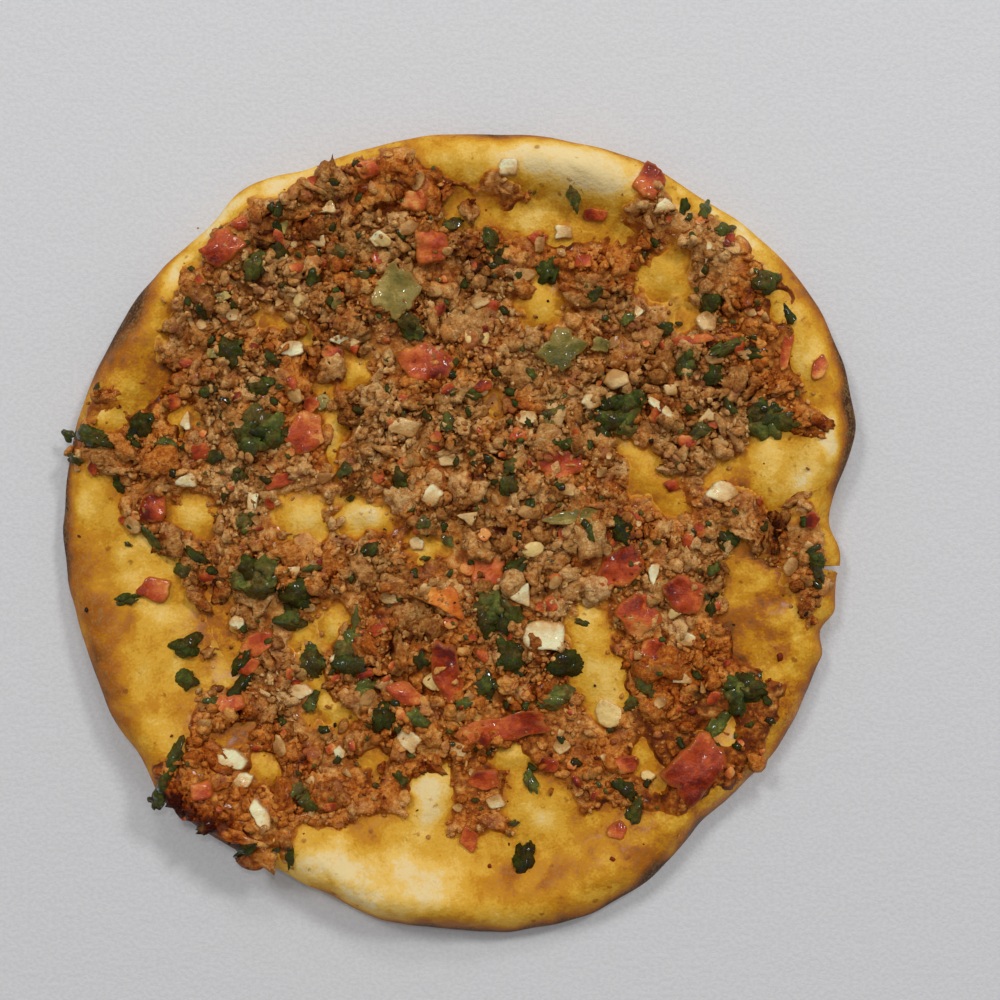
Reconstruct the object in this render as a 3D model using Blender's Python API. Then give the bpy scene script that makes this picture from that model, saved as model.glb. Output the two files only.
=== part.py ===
"""A small lahmacun: a thin round flatbread baked under a layer of minced meat, with chopped vegetables and herbs.

Frame: metres, +Z up. The bread lies on z = 0, and the origin is the middle of its footprint, on the surface it rests on.
The bread, the mince layer and each large chopped piece are separate solids.
"""

import math

import bmesh
import bpy
from mathutils import Vector, noise
from mathutils.bvhtree import BVHTree

MM = 0.001

# ---- Driving dimensions -------------------------------------------------------------------------

BREAD_RADIUS = 75 * MM
CRUMB_THICKNESS = 2.8 * MM
RIM_PUFF = 2.4 * MM
RIM_CENTRE = 0.92
RIM_HALF_WIDTH = 0.11
EDGE_ROUND = 0.95
FLAT_SHARE = 0.56
EDGE_LIFT = 1.8 * MM
GAP = 0.3 * MM

# Swells and dents of the bread's outline: angle, half-width before it, half-width after it (degrees), height (mm).
OUTLINE = (
    (36, 42, 42, 6.0),
    (66, 22, 22, 2.4),
    (2, 8, 14, -5.0),
    (345, 4, 4, -2.6),
    (336, 24, 16, -2.0),
    (311, 8, 14, -3.3),
    (286, 26, 18, 1.8),
    (238, 26, 22, -2.9),
    (203, 30, 22, -1.6),
    (122, 9, 9, 1.5),
    (90, 25, 22, 0.9),
    (353, 9, 6, -2.4),
    (250, 18, 14, -1.4),
    (215, 8, 8, -1.8),
    (304, 6, 6, -1.2),
    (321, 7, 8, -1.0),
    (119, 9, 10, 0.9),
    (79, 8, 8, 0.7),
    (56, 10, 10, -0.7),
)

# Where the edge stands higher off the table than elsewhere: angle, half-width, half-width (degrees), height (mm).
LIFTS = (
    (228, 48, 40, 5.0),
    (18, 34, 30, 1.6),
    (75, 30, 30, 1.0),
    (150, 35, 40, 1.4),
)

# Where the rim is blown up more, as at its large bubbles: angle, half-widths, height (mm).
RIM_BUBBLES = (
    (265, 26, 24, 2.4),
    (72, 20, 22, 1.6),
    (14, 12, 12, 1.4),
    (152, 22, 26, 0.8),
    (190, 22, 20, 0.8),
    (310, 22, 16, 0.6),
)

# Bare places, where the bread shows between the mince, most of them blisters: x, y, half-length, half-width (mm),
# turn (degrees), blister height (mm).
BARE = (
    (22, 68.5, 14, 7.5, -12, 1.6),
    (2, 72.5, 11.5, 5.5, 0, 0.4),
    (-33, 68, 10, 4.2, 24, 0.2),
    (-49, 60.5, 10, 5.5, 44, 0.3),
    (-59, 44, 14.5, 6.5, 60, 0.4),
    (-68, -1, 5, 14, 0, 0.0),
    (-60, -20, 12, 20, 10, 0.8),
    (-58, -35, 6, 9, 35, 0.4),
    (-10, -65.5, 25, 11, -5, 1.2),
    (24, -64, 25, 9.5, 20, 0.8),
    (15, -52, 8, 7, 0, 0.6),
    (61, 13, 8.5, 8, 30, 1.4),
    (66, 33, 4.5, 11, 10, 0.4),
    (57.5, -17, 7.5, 12, 8, 0.6),
    (66, -30, 4.5, 13, -14, 0.3),
    (40, 49, 4.5, 5.5, 20, 1.4),
    (15.5, 43.5, 4.5, 6, 10, 1.4),
    (37, 10, 10, 3.8, -42, 1.3),
    (-24.5, 18, 2.8, 6, -12, 1.0),
    (-29.5, 3, 4.8, 5.2, 0, 1.2),
    (-17.5, 3.5, 5.8, 3.4, -8, 0.9),
    (-50.5, 3.5, 4.6, 4.6, 0, 0.8),
    (-20, 30.5, 4, 3, 0, 0.9),
    (-24, -18, 3, 3.8, 20, 0.9),
    (-23.5, -33.5, 4, 2.8, 0, 0.8),
    (-36, -44, 4, 3, -20, 0.8),
    (-5, -50.5, 4.4, 7, -20, 1.2),
    (26, -24, 5.5, 13.5, 12, 1.4),
    (10, -42.5, 5, 2.8, 14, 0.8),
)

# How far the mince stays back from the bread's edge: everywhere, then at the places where it runs up to the edge.
MINCE_MARGIN = 3.6 * MM
MINCE_OVER_EDGE = ((100, 9, 9, 2.4), (163, 12, 12, 2.8), (229, 16, 16, 2.8), (354, 8, 8, 1.2), (320, 14, 12, 1.4))
MINCE_THICKNESS = 2.3 * MM
MINCE_LUMP = 0.9 * MM
MINCE_LUMP_SPACING = 9 * MM

# Chopped pieces as large as a berry: name, x, y, length, width, thickness (mm), turn (degrees), number of sides.
PIECES = (
    ("tomato_wedge", 45, -44, 15, 10.5, 2.6, 42, 5),
    ("tomato_square", -29, 19.3, 9.5, 7, 1.6, 68, 4),
    ("tomato_upper_left", -44, 53.3, 9, 6.2, 1.8, 24, 4),
    ("tomato_top", 36, 65.8, 8, 6, 1.8, 66, 4),
    ("tomato_flesh_top", -5, 54, 8, 7.5, 2.0, 10, 5),
    ("tomato_long", -2, -26, 12.5, 4.8, 2.0, 100, 5),
    ("tomato_dark", 30.5, -6.5, 10.5, 7, 1.8, 40, 5),
    ("tomato_pink", 34, -15.5, 9.5, 8.5, 1.6, 110, 5),
    ("tomato_mash", 43, -11.5, 9, 7, 1.6, -30, 5),
    ("tomato_middle", 19.5, 13.2, 9, 6, 1.8, -6, 5),
    ("tomato_centre", -5.5, 32, 11, 6.5, 1.8, -16, 5),
    ("tomato_left", -57.6, 5, 8, 5.6, 1.8, 76, 4),
    ("tomato_skin", 5.6, -6.6, 10.5, 6.8, 1.5, 72, 4),
    ("red_pepper_strip", 8.5, -37, 17, 4.6, 1.6, 11, 4),
    ("orange_pepper", -3.8, -12.6, 12, 5.4, 1.2, -18, 3),
    ("green_pepper_large", -11.8, 45.5, 11.5, 9.5, 2.0, 62, 4),
    ("green_pepper_small", 19.6, 35, 9.5, 8, 2.0, 40, 5),
    ("onion_slab", 16.2, -19.4, 10, 6.2, 2.0, 4, 5),
    ("parsley_right", 31.2, 22.6, 10.5, 6.6, 1.5, 4, 6),
    ("parsley_left", -37.8, 19.6, 10, 8, 1.5, 40, 6),
    ("parsley_lower_left", -38, -8.4, 10.5, 6.8, 1.5, -12, 6),
    ("parsley_centre", 7.2, -15.4, 9.5, 5.6, 1.5, 66, 6),
    ("parsley_leaf", 53.7, -30, 8, 7, 1.2, -30, 5),
    ("parsley_upper_right", 58.4, 21.4, 8.5, 6.2, 1.5, -50, 6),
)

# The tear in the rim: its angle, how deep it goes in and how wide it gapes.
TEAR_ANGLE = 354.7
TEAR_DEPTH = 4.2 * MM
TEAR_WIDTH = 1.1 * MM

# ---- Mesh densities -----------------------------------------------------------------------------

SEGMENTS = 72
TOP_RINGS = 12
UNDER_RINGS = 5
RING_CROWDING = 1.45
MINCE_RINGS = TOP_RINGS - 1
PIECE_SEGMENTS = 12
PIECE_RINGS = 6

CUTTER_REACH = 30 * MM

COLOURS = {
    "bread": ((0.62, 0.36, 0.10), 0.55),
    "mince": ((0.36, 0.15, 0.05), 0.60),
    "tomato": ((0.42, 0.06, 0.02), 0.25),
    "pepper_red": ((0.50, 0.12, 0.03), 0.30),
    "pepper_green": ((0.16, 0.19, 0.03), 0.25),
    "onion": ((0.62, 0.45, 0.22), 0.35),
    "parsley": ((0.02, 0.07, 0.01), 0.40),
}


# ---- Small helpers ------------------------------------------------------------------------------


def hill(offset, before, after):
    """A smooth hill of height 1 at offset 0 that falls to 0 at -before and at +after."""
    share = offset / (before if offset < 0 else after)
    return math.cos(0.5 * math.pi * share) ** 2 if abs(share) < 1 else 0.0


def around(angle, features):
    """The sum of the features' hills at this angle (degrees), in metres."""
    total = 0.0
    for centre, before, after, height in features:
        offset = (angle - centre + 180) % 360 - 180
        total += height * MM * hill(offset, before, after)
    return total


def smooth(share):
    """0 below 0, 1 above 1, and an even S between."""
    share = min(1.0, max(0.0, share))
    return share * share * (3 - 2 * share)


def turned(x, y, degrees):
    """(x, y) turned about the origin."""
    c, s = math.cos(math.radians(degrees)), math.sin(math.radians(degrees))
    return x * c - y * s, x * s + y * c


def uneven(x, y, seed, spacing):
    """Smooth noise from about -1 to 1, over lumps this far apart."""
    return noise.noise(Vector((x / spacing, y / spacing, seed * 3.7)))


# ---- The bread's shape as functions of the place on it ------------------------------------------


def edge_radius(angle):
    """The bread's radius at this angle (degrees)."""
    return BREAD_RADIUS + around(angle, OUTLINE)


def footprint_centre():
    """The middle of the box round the outline, which is moved to the origin."""
    angles = [360 * j / SEGMENTS for j in range(SEGMENTS)]
    xs = [edge_radius(a) * math.cos(math.radians(a)) for a in angles]
    ys = [edge_radius(a) * math.sin(math.radians(a)) for a in angles]
    return (max(xs) + min(xs)) / 2, (max(ys) + min(ys)) / 2


CENTRE_X, CENTRE_Y = footprint_centre()


def on_bread(angle, share):
    """The plan position at this angle (degrees) and share of the way from the centre to the edge."""
    reach = edge_radius(angle) * share
    a = math.radians(angle)
    return reach * math.cos(a) - CENTRE_X, reach * math.sin(a) - CENTRE_Y


def bare_share(x, y, place):
    """How far out (x, y) lies in a bare place: 0 at its middle, 1 on its outline."""
    px, py, length, width, turn, _ = place
    u, v = turned(x - px * MM, y - py * MM, -turn)
    return math.hypot(u / (length * MM), v / (width * MM))


def blisters(x, y):
    """The height of the blister here. Where two meet, the higher one counts."""
    heights = [place[5] * MM * hill(bare_share(x, y, place), 1.25, 1.25) for place in BARE]
    return max(heights)


def underside(angle, share):
    """The bread's lower surface: flat in the middle, rising towards the edge."""
    climb = smooth((share - FLAT_SHARE) / (1 - FLAT_SHARE))
    return (EDGE_LIFT + around(angle, LIFTS)) * climb


def body_thickness(angle, share):
    """The dough's thickness, thicker in the rim."""
    rim = hill(share - RIM_CENTRE, RIM_HALF_WIDTH, RIM_HALF_WIDTH)
    return CRUMB_THICKNESS + (RIM_PUFF + around(angle, RIM_BUBBLES)) * rim


def edge_fall(share):
    """1 over most of the bread, falling to 0 on the edge as a quarter of an ellipse."""
    outward = max(0.0, (share - EDGE_ROUND) / (1 - EDGE_ROUND))
    return math.sqrt(max(0.0, 1 - outward * outward))


def bread_top(angle, share):
    """The bread's upper surface."""
    x, y = on_bread(angle, share)
    below, thick = underside(angle, share), body_thickness(angle, share)
    middle = below + 0.45 * thick
    return middle + (0.55 * thick + blisters(x, y)) * edge_fall(share)


def bread_bottom(angle, share):
    """The bread's lower surface, rounded up to the edge."""
    below, thick = underside(angle, share), body_thickness(angle, share)
    return below + 0.45 * thick * (1 - edge_fall(share))


def ring_share(ring):
    """The share of the radius at which a ring of the upper surface lies: rings crowd towards the edge."""
    return 1 - (1 - ring / TOP_RINGS) ** RING_CROWDING


def mince_thickness(x, y):
    """The mince layer's thickness: uneven, and never thin."""
    lumps = uneven(x, y, 1, MINCE_LUMP_SPACING) + 0.5 * uneven(x, y, 2, MINCE_LUMP_SPACING / 2)
    return MINCE_THICKNESS + MINCE_LUMP * lumps


# ---- Making objects -----------------------------------------------------------------------------


def clear_scene():
    for obj in list(bpy.data.objects):
        bpy.data.objects.remove(obj)


def new_collection(name):
    collection = bpy.data.collections.new(name)
    bpy.context.scene.collection.children.link(collection)
    return collection


def material(kind):
    """The Principled material of this kind, made once."""
    found = bpy.data.materials.get(kind)
    if found:
        return found
    made = bpy.data.materials.new(kind)
    made.use_nodes = True
    colour, roughness = COLOURS[kind]
    shader = made.node_tree.nodes["Principled BSDF"]
    shader.inputs["Base Color"].default_value = (*colour, 1)
    shader.inputs["Roughness"].default_value = roughness
    shader.inputs["Metallic"].default_value = 0.0
    return made


def add_object(name, bm, collection, kind=None):
    """Makes an object of the bmesh, with its outward normals and its material."""
    bmesh.ops.triangulate(bm, faces=bm.faces, quad_method="SHORT_EDGE")
    bmesh.ops.recalc_face_normals(bm, faces=bm.faces)
    mesh = bpy.data.meshes.new(name)
    bm.to_mesh(mesh)
    bm.free()
    obj = bpy.data.objects.new(name, mesh)
    collection.objects.link(obj)
    if kind:
        mesh.materials.append(material(kind))
        mesh.shade_smooth()
        mesh.set_sharp_from_angle(angle=math.radians(50))
    return obj


def shaped_sphere(segments, rings, place):
    """A UV sphere whose vertices are moved: place(ring, angle) gives the point for a ring (0 on top, rings below)."""
    bm = bmesh.new()
    bmesh.ops.create_uvsphere(bm, u_segments=segments, v_segments=rings, radius=1)
    for vert in bm.verts:
        x, y, z = vert.co
        ring = round(math.acos(max(-1.0, min(1.0, z))) / math.pi * rings)
        segment = round(math.atan2(y, x) / (2 * math.pi) * segments) % segments
        vert.co = place(ring, 360 * segment / segments)
    return bm


def as_cutter(obj):
    obj.hide_render = True
    obj.display_type = "WIRE"
    return obj


def prism(name, outline, collection):
    """A tall upright prism on the plan points of the outline, as a cutter."""
    bm = bmesh.new()
    bmesh.ops.create_cone(
        bm, segments=len(outline), radius1=1, radius2=1, depth=2 * CUTTER_REACH, cap_ends=True
    )
    for vert in bm.verts:
        corner = round(math.atan2(vert.co.y, vert.co.x) / (2 * math.pi) * len(outline)) % len(outline)
        vert.co.x, vert.co.y = outline[corner]
    return as_cutter(add_object(name, bm, collection))


def boolean(obj, operation, cutter=None, cutters=None):
    modifier = obj.modifiers.new(operation.lower(), "BOOLEAN")
    modifier.operation = operation
    modifier.solver = "EXACT"
    if cutters:
        modifier.operand_type = "COLLECTION"
        modifier.collection = cutters
    else:
        modifier.object = cutter


# ---- The bread ----------------------------------------------------------------------------------


def make_bread(parts, cutters):
    """The flatbread: one closed body, with the tear in its rim cut out."""

    def place(ring, angle):
        if ring <= TOP_RINGS:
            share = ring_share(ring)
            return (*on_bread(angle, share), bread_top(angle, share))
        share = 1 - ((ring - TOP_RINGS) / UNDER_RINGS) ** 1.5
        return (*on_bread(angle, share), bread_bottom(angle, share))

    bread = add_object("flatbread", shaped_sphere(SEGMENTS, TOP_RINGS + UNDER_RINGS, place), parts, "bread")

    radius = edge_radius(TEAR_ANGLE)
    mouth = radius + 4 * MM
    spread = math.degrees(TEAR_WIDTH / radius) / 2
    tip = on_bread(TEAR_ANGLE, (radius - TEAR_DEPTH) / radius)
    lips = [on_bread(TEAR_ANGLE + side * 1.6 * spread, mouth / radius) for side in (1, -1)]
    boolean(bread, "DIFFERENCE", cutter=prism("tear_cutter", [tip, lips[1], lips[0]], cutters))
    return bread


# ---- The mince ----------------------------------------------------------------------------------


def mince_outline():
    """Plan points of the mince's outer edge."""
    points = []
    for j in range(SEGMENTS):
        angle = 360 * (j + 0.5) / SEGMENTS
        radius = edge_radius(angle)
        ragged = 0.8 * MM * uneven(angle * MM, 0, 5, 8 * MM)
        margin = MINCE_MARGIN - around(angle, MINCE_OVER_EDGE) + ragged
        points.append(on_bread(angle, 1 - margin / radius))
    return points


def bare_outline(place):
    """Plan points of a bare place's outline: an ellipse with a wavy line."""
    px, py, length, width, turn, _ = place
    corners = max(12, round((length + width) * 0.9))
    points = []
    for j in range(corners):
        a = 2 * math.pi * j / corners
        wave = 1 + 0.10 * math.sin(3 * a + px) + 0.06 * math.sin(5 * a + py)
        u, v = turned(length * MM * wave * math.cos(a), width * MM * wave * math.sin(a), turn)
        points.append((px * MM + u, py * MM + v))
    return points


def make_mince(parts, cutters, bare_cutters):
    """The mince layer: it follows the bread's upper surface, a gap above it, and stops at each bare place."""

    def place(ring, angle):
        over = ring <= MINCE_RINGS
        share = ring_share(ring if over else 2 * MINCE_RINGS + 1 - ring)
        x, y = on_bread(angle, share)
        z = bread_top(angle, share) + GAP
        return x, y, z + (mince_thickness(x, y) if over else 0.0)

    mince = add_object("mince", shaped_sphere(SEGMENTS, 2 * MINCE_RINGS + 1, place), parts, "mince")
    boolean(mince, "INTERSECT", cutter=prism("mince_outline", mince_outline(), cutters))
    for number, place_ in enumerate(BARE):
        prism(f"bare_{number:02d}", bare_outline(place_), bare_cutters)
    boolean(mince, "DIFFERENCE", cutters=bare_cutters)
    return mince


# ---- The chopped pieces -------------------------------------------------------------------------

PIECE_CLEARANCE = 0.45 * MM
PIECE_FEEL = 1.3 * MM
PIECE_SAG = 1.0 * MM


def support(trees, x, y):
    """The height of what lies under (x, y), felt over a small ring so that a piece clears the edges near it."""
    feel = [(0.0, 0.0)] + [turned(PIECE_FEEL, 0, 60 * k) for k in range(6)]
    hits = []
    for dx, dy in feel:
        for tree in trees:
            hit = tree.ray_cast(Vector((x + dx, y + dy, CUTTER_REACH)), Vector((0, 0, -1)))[0]
            if hit:
                hits.append(hit.z)
    return max(hits, default=0.0)


def piece_reach(angle, sides, seed):
    """The outline of a cut piece: a polygon with rounded corners, 1 at a corner, and a little uneven."""
    step = 360 / sides
    off = math.radians((angle + seed * 17) % step - step / 2)
    flat = math.cos(math.radians(step / 2)) / math.cos(off)
    return (0.45 + 0.55 * flat) * (1 + 0.08 * math.sin(2 * math.radians(angle) + seed))


def make_piece(parts, trees, row, seed):
    """One cut piece, draped over what lies under it: a slab with a rounded edge."""
    name, px, py, length, width, thick, turn, sides = row
    shares = (0.0, 0.5, 0.88, 1.0, 0.88, 0.5, 0.0)
    heights = (1.0, 0.97, 0.84, 0.45, 0.0, 0.0, 0.0)
    lowest = support(trees, px * MM, py * MM) - PIECE_SAG

    def place(ring, angle):
        a = math.radians(angle)
        reach = shares[ring] * piece_reach(angle, sides, seed)
        u, v = turned(length / 2 * MM * reach * math.cos(a), width / 2 * MM * reach * math.sin(a), turn)
        x, y = px * MM + u, py * MM + v
        rest = max(support(trees, x, y), lowest)
        return x, y, rest + PIECE_CLEARANCE + thick * MM * heights[ring]

    kinds = {"tomato": "tomato", "red": "pepper_red", "orange": "pepper_red", "green": "pepper_green"}
    kind = kinds.get(name.split("_")[0], name.split("_")[0])
    return add_object(name, shaped_sphere(PIECE_SEGMENTS, PIECE_RINGS, place), parts, kind)


def tree_of(obj):
    """A search tree of the object as its modifiers leave it."""
    bpy.context.view_layer.update()
    return BVHTree.FromObject(obj, bpy.context.evaluated_depsgraph_get())


def main():
    clear_scene()
    parts = new_collection("lahmacun")
    cutters = new_collection("cutters")
    bare_cutters = new_collection("bare_cutters")
    bread = make_bread(parts, cutters)
    mince = make_mince(parts, cutters, bare_cutters)
    trees = [tree_of(bread), tree_of(mince)]
    for seed, row in enumerate(PIECES):
        trees.append(tree_of(make_piece(parts, trees, row, seed)))


main()
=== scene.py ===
# %% [markdown]
# # A small lahmacun
# A thin round flatbread, baked under a layer of minced meat with chopped tomato, pepper, onion and parsley.
# The CAD model is the fixed frame: it gives the size and the place of the bread, the mince and each large
# chopped piece. This lesson makes their looks. Every shape is a surface worked out with numpy, in
# millimetres, and turned into metres only when the mesh is made.

import bmesh
import bpy
import numpy as np
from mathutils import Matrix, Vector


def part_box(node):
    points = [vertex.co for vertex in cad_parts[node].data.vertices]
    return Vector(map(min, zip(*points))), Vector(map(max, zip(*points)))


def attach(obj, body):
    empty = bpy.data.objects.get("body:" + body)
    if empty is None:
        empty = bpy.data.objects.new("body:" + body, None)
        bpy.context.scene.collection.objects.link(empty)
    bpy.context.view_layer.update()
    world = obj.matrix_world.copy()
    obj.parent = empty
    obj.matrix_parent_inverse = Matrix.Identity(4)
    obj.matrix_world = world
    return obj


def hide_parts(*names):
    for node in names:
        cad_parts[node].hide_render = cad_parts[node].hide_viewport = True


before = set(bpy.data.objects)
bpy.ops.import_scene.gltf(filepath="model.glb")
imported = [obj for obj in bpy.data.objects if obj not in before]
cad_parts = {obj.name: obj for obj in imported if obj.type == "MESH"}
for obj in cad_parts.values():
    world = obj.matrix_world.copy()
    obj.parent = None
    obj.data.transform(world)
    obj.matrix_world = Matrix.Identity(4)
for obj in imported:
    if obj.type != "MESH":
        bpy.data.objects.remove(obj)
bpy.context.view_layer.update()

MM = 0.001
FULL_TURN = 6.3
print("CAD nodes:", len(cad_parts))

# %% [markdown]
# ## Uneven numbers
# Food is never even, so nearly every shape here needs smooth noise. A lattice of random numbers, joined by
# a smooth blend, could come from a library, but a few lines of numpy give the same numbers on every run.
# `pebbled` gives the distance to the nearest of many jittered points, which makes rounded lumps with
# creases between them, as crumbs have.


# %% Noise helpers
def scattered(*whole, seed=0):
    """Random numbers from 0 to 1 that depend only on the whole numbers given: a hash of them."""
    mixed = np.int64(seed * 7919 + 17)
    for step, value in enumerate(whole):
        mixed = (mixed ^ (np.asarray(value, np.int64) * (73856093, 19349663, 83492791)[step])) & 0xFFFFFFFF
        mixed = (mixed * 1103515245 + 12345) & 0xFFFFFFFF
        mixed = mixed ^ (mixed >> 15)
    return ((mixed * 2654435761) & 0xFFFFFFFF) / 0xFFFFFFFF


def uneven(x, y, z=0.0, size=1.0, seed=0):
    """Smooth noise from -1 to 1 with lumps of this size: lattice values joined by an S-shaped blend."""
    p = np.stack(np.broadcast_arrays(x, y, z)).astype(float) / size
    low = np.floor(p).astype(np.int64)
    f = p - low
    f = f * f * (3 - 2 * f)
    total = 0.0
    for corner in range(8):
        side = np.array([corner & 1, corner >> 1 & 1, corner >> 2])
        share = 1.0
        for axis in range(3):
            share = share * (f[axis] if side[axis] else 1 - f[axis])
        total = total + share * scattered(*(low[axis] + side[axis] for axis in range(3)), seed=seed)
    return 2 * total - 1


def pebbled(x, y, size, seed=0):
    """Lumps packed side by side: 1 at the middle of each, falling as a circle to 0 at its rim. The second
    result is each lump's own random number."""
    ix, iy = np.floor(x / size).astype(np.int64), np.floor(y / size).astype(np.int64)
    nearest, number = np.full(np.shape(x), 9.0), np.zeros(np.shape(x))
    for dx in (-1, 0, 1):
        for dy in (-1, 0, 1):
            jx, jy = scattered(ix + dx, iy + dy, seed=seed), scattered(ix + dx, iy + dy, seed=seed + 1)
            away = np.hypot(x / size - (ix + dx + jx), y / size - (iy + dy + jy))
            closer = away < nearest
            nearest = np.where(closer, away, nearest)
            number = np.where(closer, scattered(ix + dx, iy + dy, seed=seed + 2), number)
    return np.sqrt(np.clip(1 - (nearest / 0.85) ** 2, 0, 1)), number


def smooth(share):
    """0 below 0, 1 above 1, and an even S between."""
    share = np.clip(share, 0, 1)
    return share * share * (3 - 2 * share)


def turned(x, y, degrees):
    """The point turned about the origin."""
    c, s = np.cos(np.radians(degrees)), np.sin(np.radians(degrees))
    return x * c - y * s, x * s + y * c


print("noise at one place:", round(float(uneven(3.2, 4.1, size=2.0)), 3))

# %% [markdown]
# ## The bread's shape
# The dough was rolled out thin, and its edge puffed up, blistered and curled off the table as it baked. The
# outline is a circle with swells and dents, each a smooth hill over a range of angles. Its height is a
# function of the angle and of the share of the way to the edge. The same numbers are in the CAD model, so
# the two agree.

# %% The bread's numbers
BREAD_RADIUS = 75
CRUMB_THICKNESS = 2.8
RIM_PUFF, RIM_CENTRE, RIM_HALF_WIDTH = 2.4, 0.92, 0.11
EDGE_ROUND = 0.95
FLAT_SHARE = 0.56
EDGE_LIFT = 1.8

OUTLINE = (
    (36, 42, 42, 6.0), (66, 22, 22, 2.4), (2, 8, 14, -5.0), (345, 4, 4, -2.6), (336, 24, 16, -2.0),
    (311, 8, 14, -3.3), (286, 26, 18, 1.8), (238, 26, 22, -2.9), (203, 30, 22, -1.6), (122, 9, 9, 1.5),
    (90, 25, 22, 0.9), (353, 9, 6, -2.4), (250, 18, 14, -1.4), (215, 8, 8, -1.8), (304, 6, 6, -1.2),
    (321, 7, 8, -1.0), (119, 9, 10, 0.9), (79, 8, 8, 0.7), (56, 10, 10, -0.7),
)
LIFTS = ((228, 48, 40, 5.0), (18, 34, 30, 1.6), (75, 30, 30, 1.0), (150, 35, 40, 1.4))
RIM_BUBBLES = (
    (265, 26, 24, 2.4), (72, 20, 22, 1.6), (14, 12, 12, 1.4), (152, 22, 26, 0.8), (190, 22, 20, 0.8),
    (310, 22, 16, 0.6),
)
# Bare places: x, y, half-length, half-width, turn, blister height.
BARE = (
    (22, 68.5, 14, 7.5, -12, 1.6), (2, 72.5, 11.5, 5.5, 0, 0.4), (-33, 68, 10, 4.2, 24, 0.2),
    (-49, 60.5, 10, 5.5, 44, 0.3), (-59, 44, 14.5, 6.5, 60, 0.4), (-68, -1, 5, 14, 0, 0.0),
    (-60, -20, 12, 20, 10, 0.8), (-58, -35, 6, 9, 35, 0.4), (-10, -65.5, 25, 11, -5, 1.2),
    (24, -64, 25, 9.5, 20, 0.8), (15, -52, 8, 7, 0, 0.6), (61, 13, 8.5, 8, 30, 1.4),
    (66, 33, 4.5, 11, 10, 0.4), (57.5, -17, 7.5, 12, 8, 0.6), (66, -30, 4.5, 13, -14, 0.3),
    (40, 49, 4.5, 5.5, 20, 1.4), (15.5, 43.5, 4.5, 6, 10, 1.4), (37, 10, 10, 3.8, -42, 1.3),
    (-24.5, 18, 2.8, 6, -12, 1.0), (-29.5, 3, 4.8, 5.2, 0, 1.2), (-17.5, 3.5, 5.8, 3.4, -8, 0.9),
    (-50.5, 3.5, 4.6, 4.6, 0, 0.8), (-20, 30.5, 4, 3, 0, 0.9), (-24, -18, 3, 3.8, 20, 0.9),
    (-23.5, -33.5, 4, 2.8, 0, 0.8), (-36, -44, 4, 3, -20, 0.8), (-5, -50.5, 4.4, 7, -20, 1.2),
    (26, -24, 5.5, 13.5, 12, 1.4), (10, -42.5, 5, 2.8, 14, 0.8),
)
TEAR_ANGLE, TEAR_DEPTH, TEAR_WIDTH = 354.7, 4.2, 1.1


# %% The bread as functions of the place on it
def hill(offset, before, after):
    """A smooth hill: 1 at offset 0, falling as a squared cosine to 0 at -before and at +after."""
    share = np.abs(offset) / np.where(offset < 0, before, after)
    return np.where(share < 1, np.cos(0.5 * np.pi * share) ** 2, 0.0)


def around(angle, features):
    """The sum of the features' hills at these angles."""
    return sum(height * hill((angle - centre + 180) % 360 - 180, a, b) for centre, a, b, height in features)


def edge_radius(angle):
    """The outline: a circle, its swells and dents, and a little fine unevenness."""
    a = np.radians(angle)
    fine = uneven(np.cos(a) * BREAD_RADIUS, np.sin(a) * BREAD_RADIUS, size=5, seed=3)
    return BREAD_RADIUS + around(angle, OUTLINE) + 0.28 * fine


ANGLES = np.arange(0.0, 360.0, 5.0)
RADII = BREAD_RADIUS + around(ANGLES, OUTLINE)
OUTLINE_X, OUTLINE_Y = RADII * np.cos(np.radians(ANGLES)), RADII * np.sin(np.radians(ANGLES))
CENTRE_X, CENTRE_Y = (OUTLINE_X.max() + OUTLINE_X.min()) / 2, (OUTLINE_Y.max() + OUTLINE_Y.min()) / 2


def polar(x, y):
    """The angle, the share of the way to the edge, and the distance left to the edge."""
    px, py = x + CENTRE_X, y + CENTRE_Y
    angle, radius = np.degrees(np.arctan2(py, px)) % 360, np.hypot(px, py)
    reach = edge_radius(angle)
    return angle, radius / reach, reach - radius


def bare_share(x, y, place):
    """How far out a point lies in a bare place: 0 at its middle, 1 on its outline."""
    u, v = turned(x - place[0], y - place[1], -place[4])
    return np.hypot(u / place[2], v / place[3])


def underside(angle, share):
    """The height of the bread's underside: 0 in the flat middle, rising as an S to the lifted edge."""
    return (EDGE_LIFT + around(angle, LIFTS)) * smooth((share - FLAT_SHARE) / (1 - FLAT_SHARE))


def body_thickness(angle, share):
    """The dough's thickness: even in the middle, with a hill where the rim is puffed up."""
    rim = hill(share - RIM_CENTRE, RIM_HALF_WIDTH, RIM_HALF_WIDTH)
    return CRUMB_THICKNESS + (RIM_PUFF + around(angle, RIM_BUBBLES)) * rim


def edge_fall(share):
    """1 over most of the bread, falling to 0 on the edge as a quarter of an ellipse."""
    return np.sqrt(np.clip(1 - np.clip((share - EDGE_ROUND) / (1 - EDGE_ROUND), 0, 1) ** 2, 0, 1))


def bread_top(x, y):
    """The upper surface: half the dough, the blisters at the bare places, soft waves and small bubbles."""
    angle, share, _ = polar(x, y)
    thick = body_thickness(angle, share)
    blister = np.max([p[5] * hill(bare_share(x, y, p), 1.25, 1.25) for p in BARE], axis=0)
    waves = 0.30 * uneven(x, y, size=11, seed=5) + 0.14 * uneven(x, y, size=4.5, seed=6)
    bubbles, number = pebbled(x, y, 6.0, seed=7)
    waves = waves + 0.30 * bubbles * (number > 0.6) * smooth((share - 0.6) / 0.3)
    return underside(angle, share) + 0.45 * thick + (0.55 * thick + blister + waves) * edge_fall(share)


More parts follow.
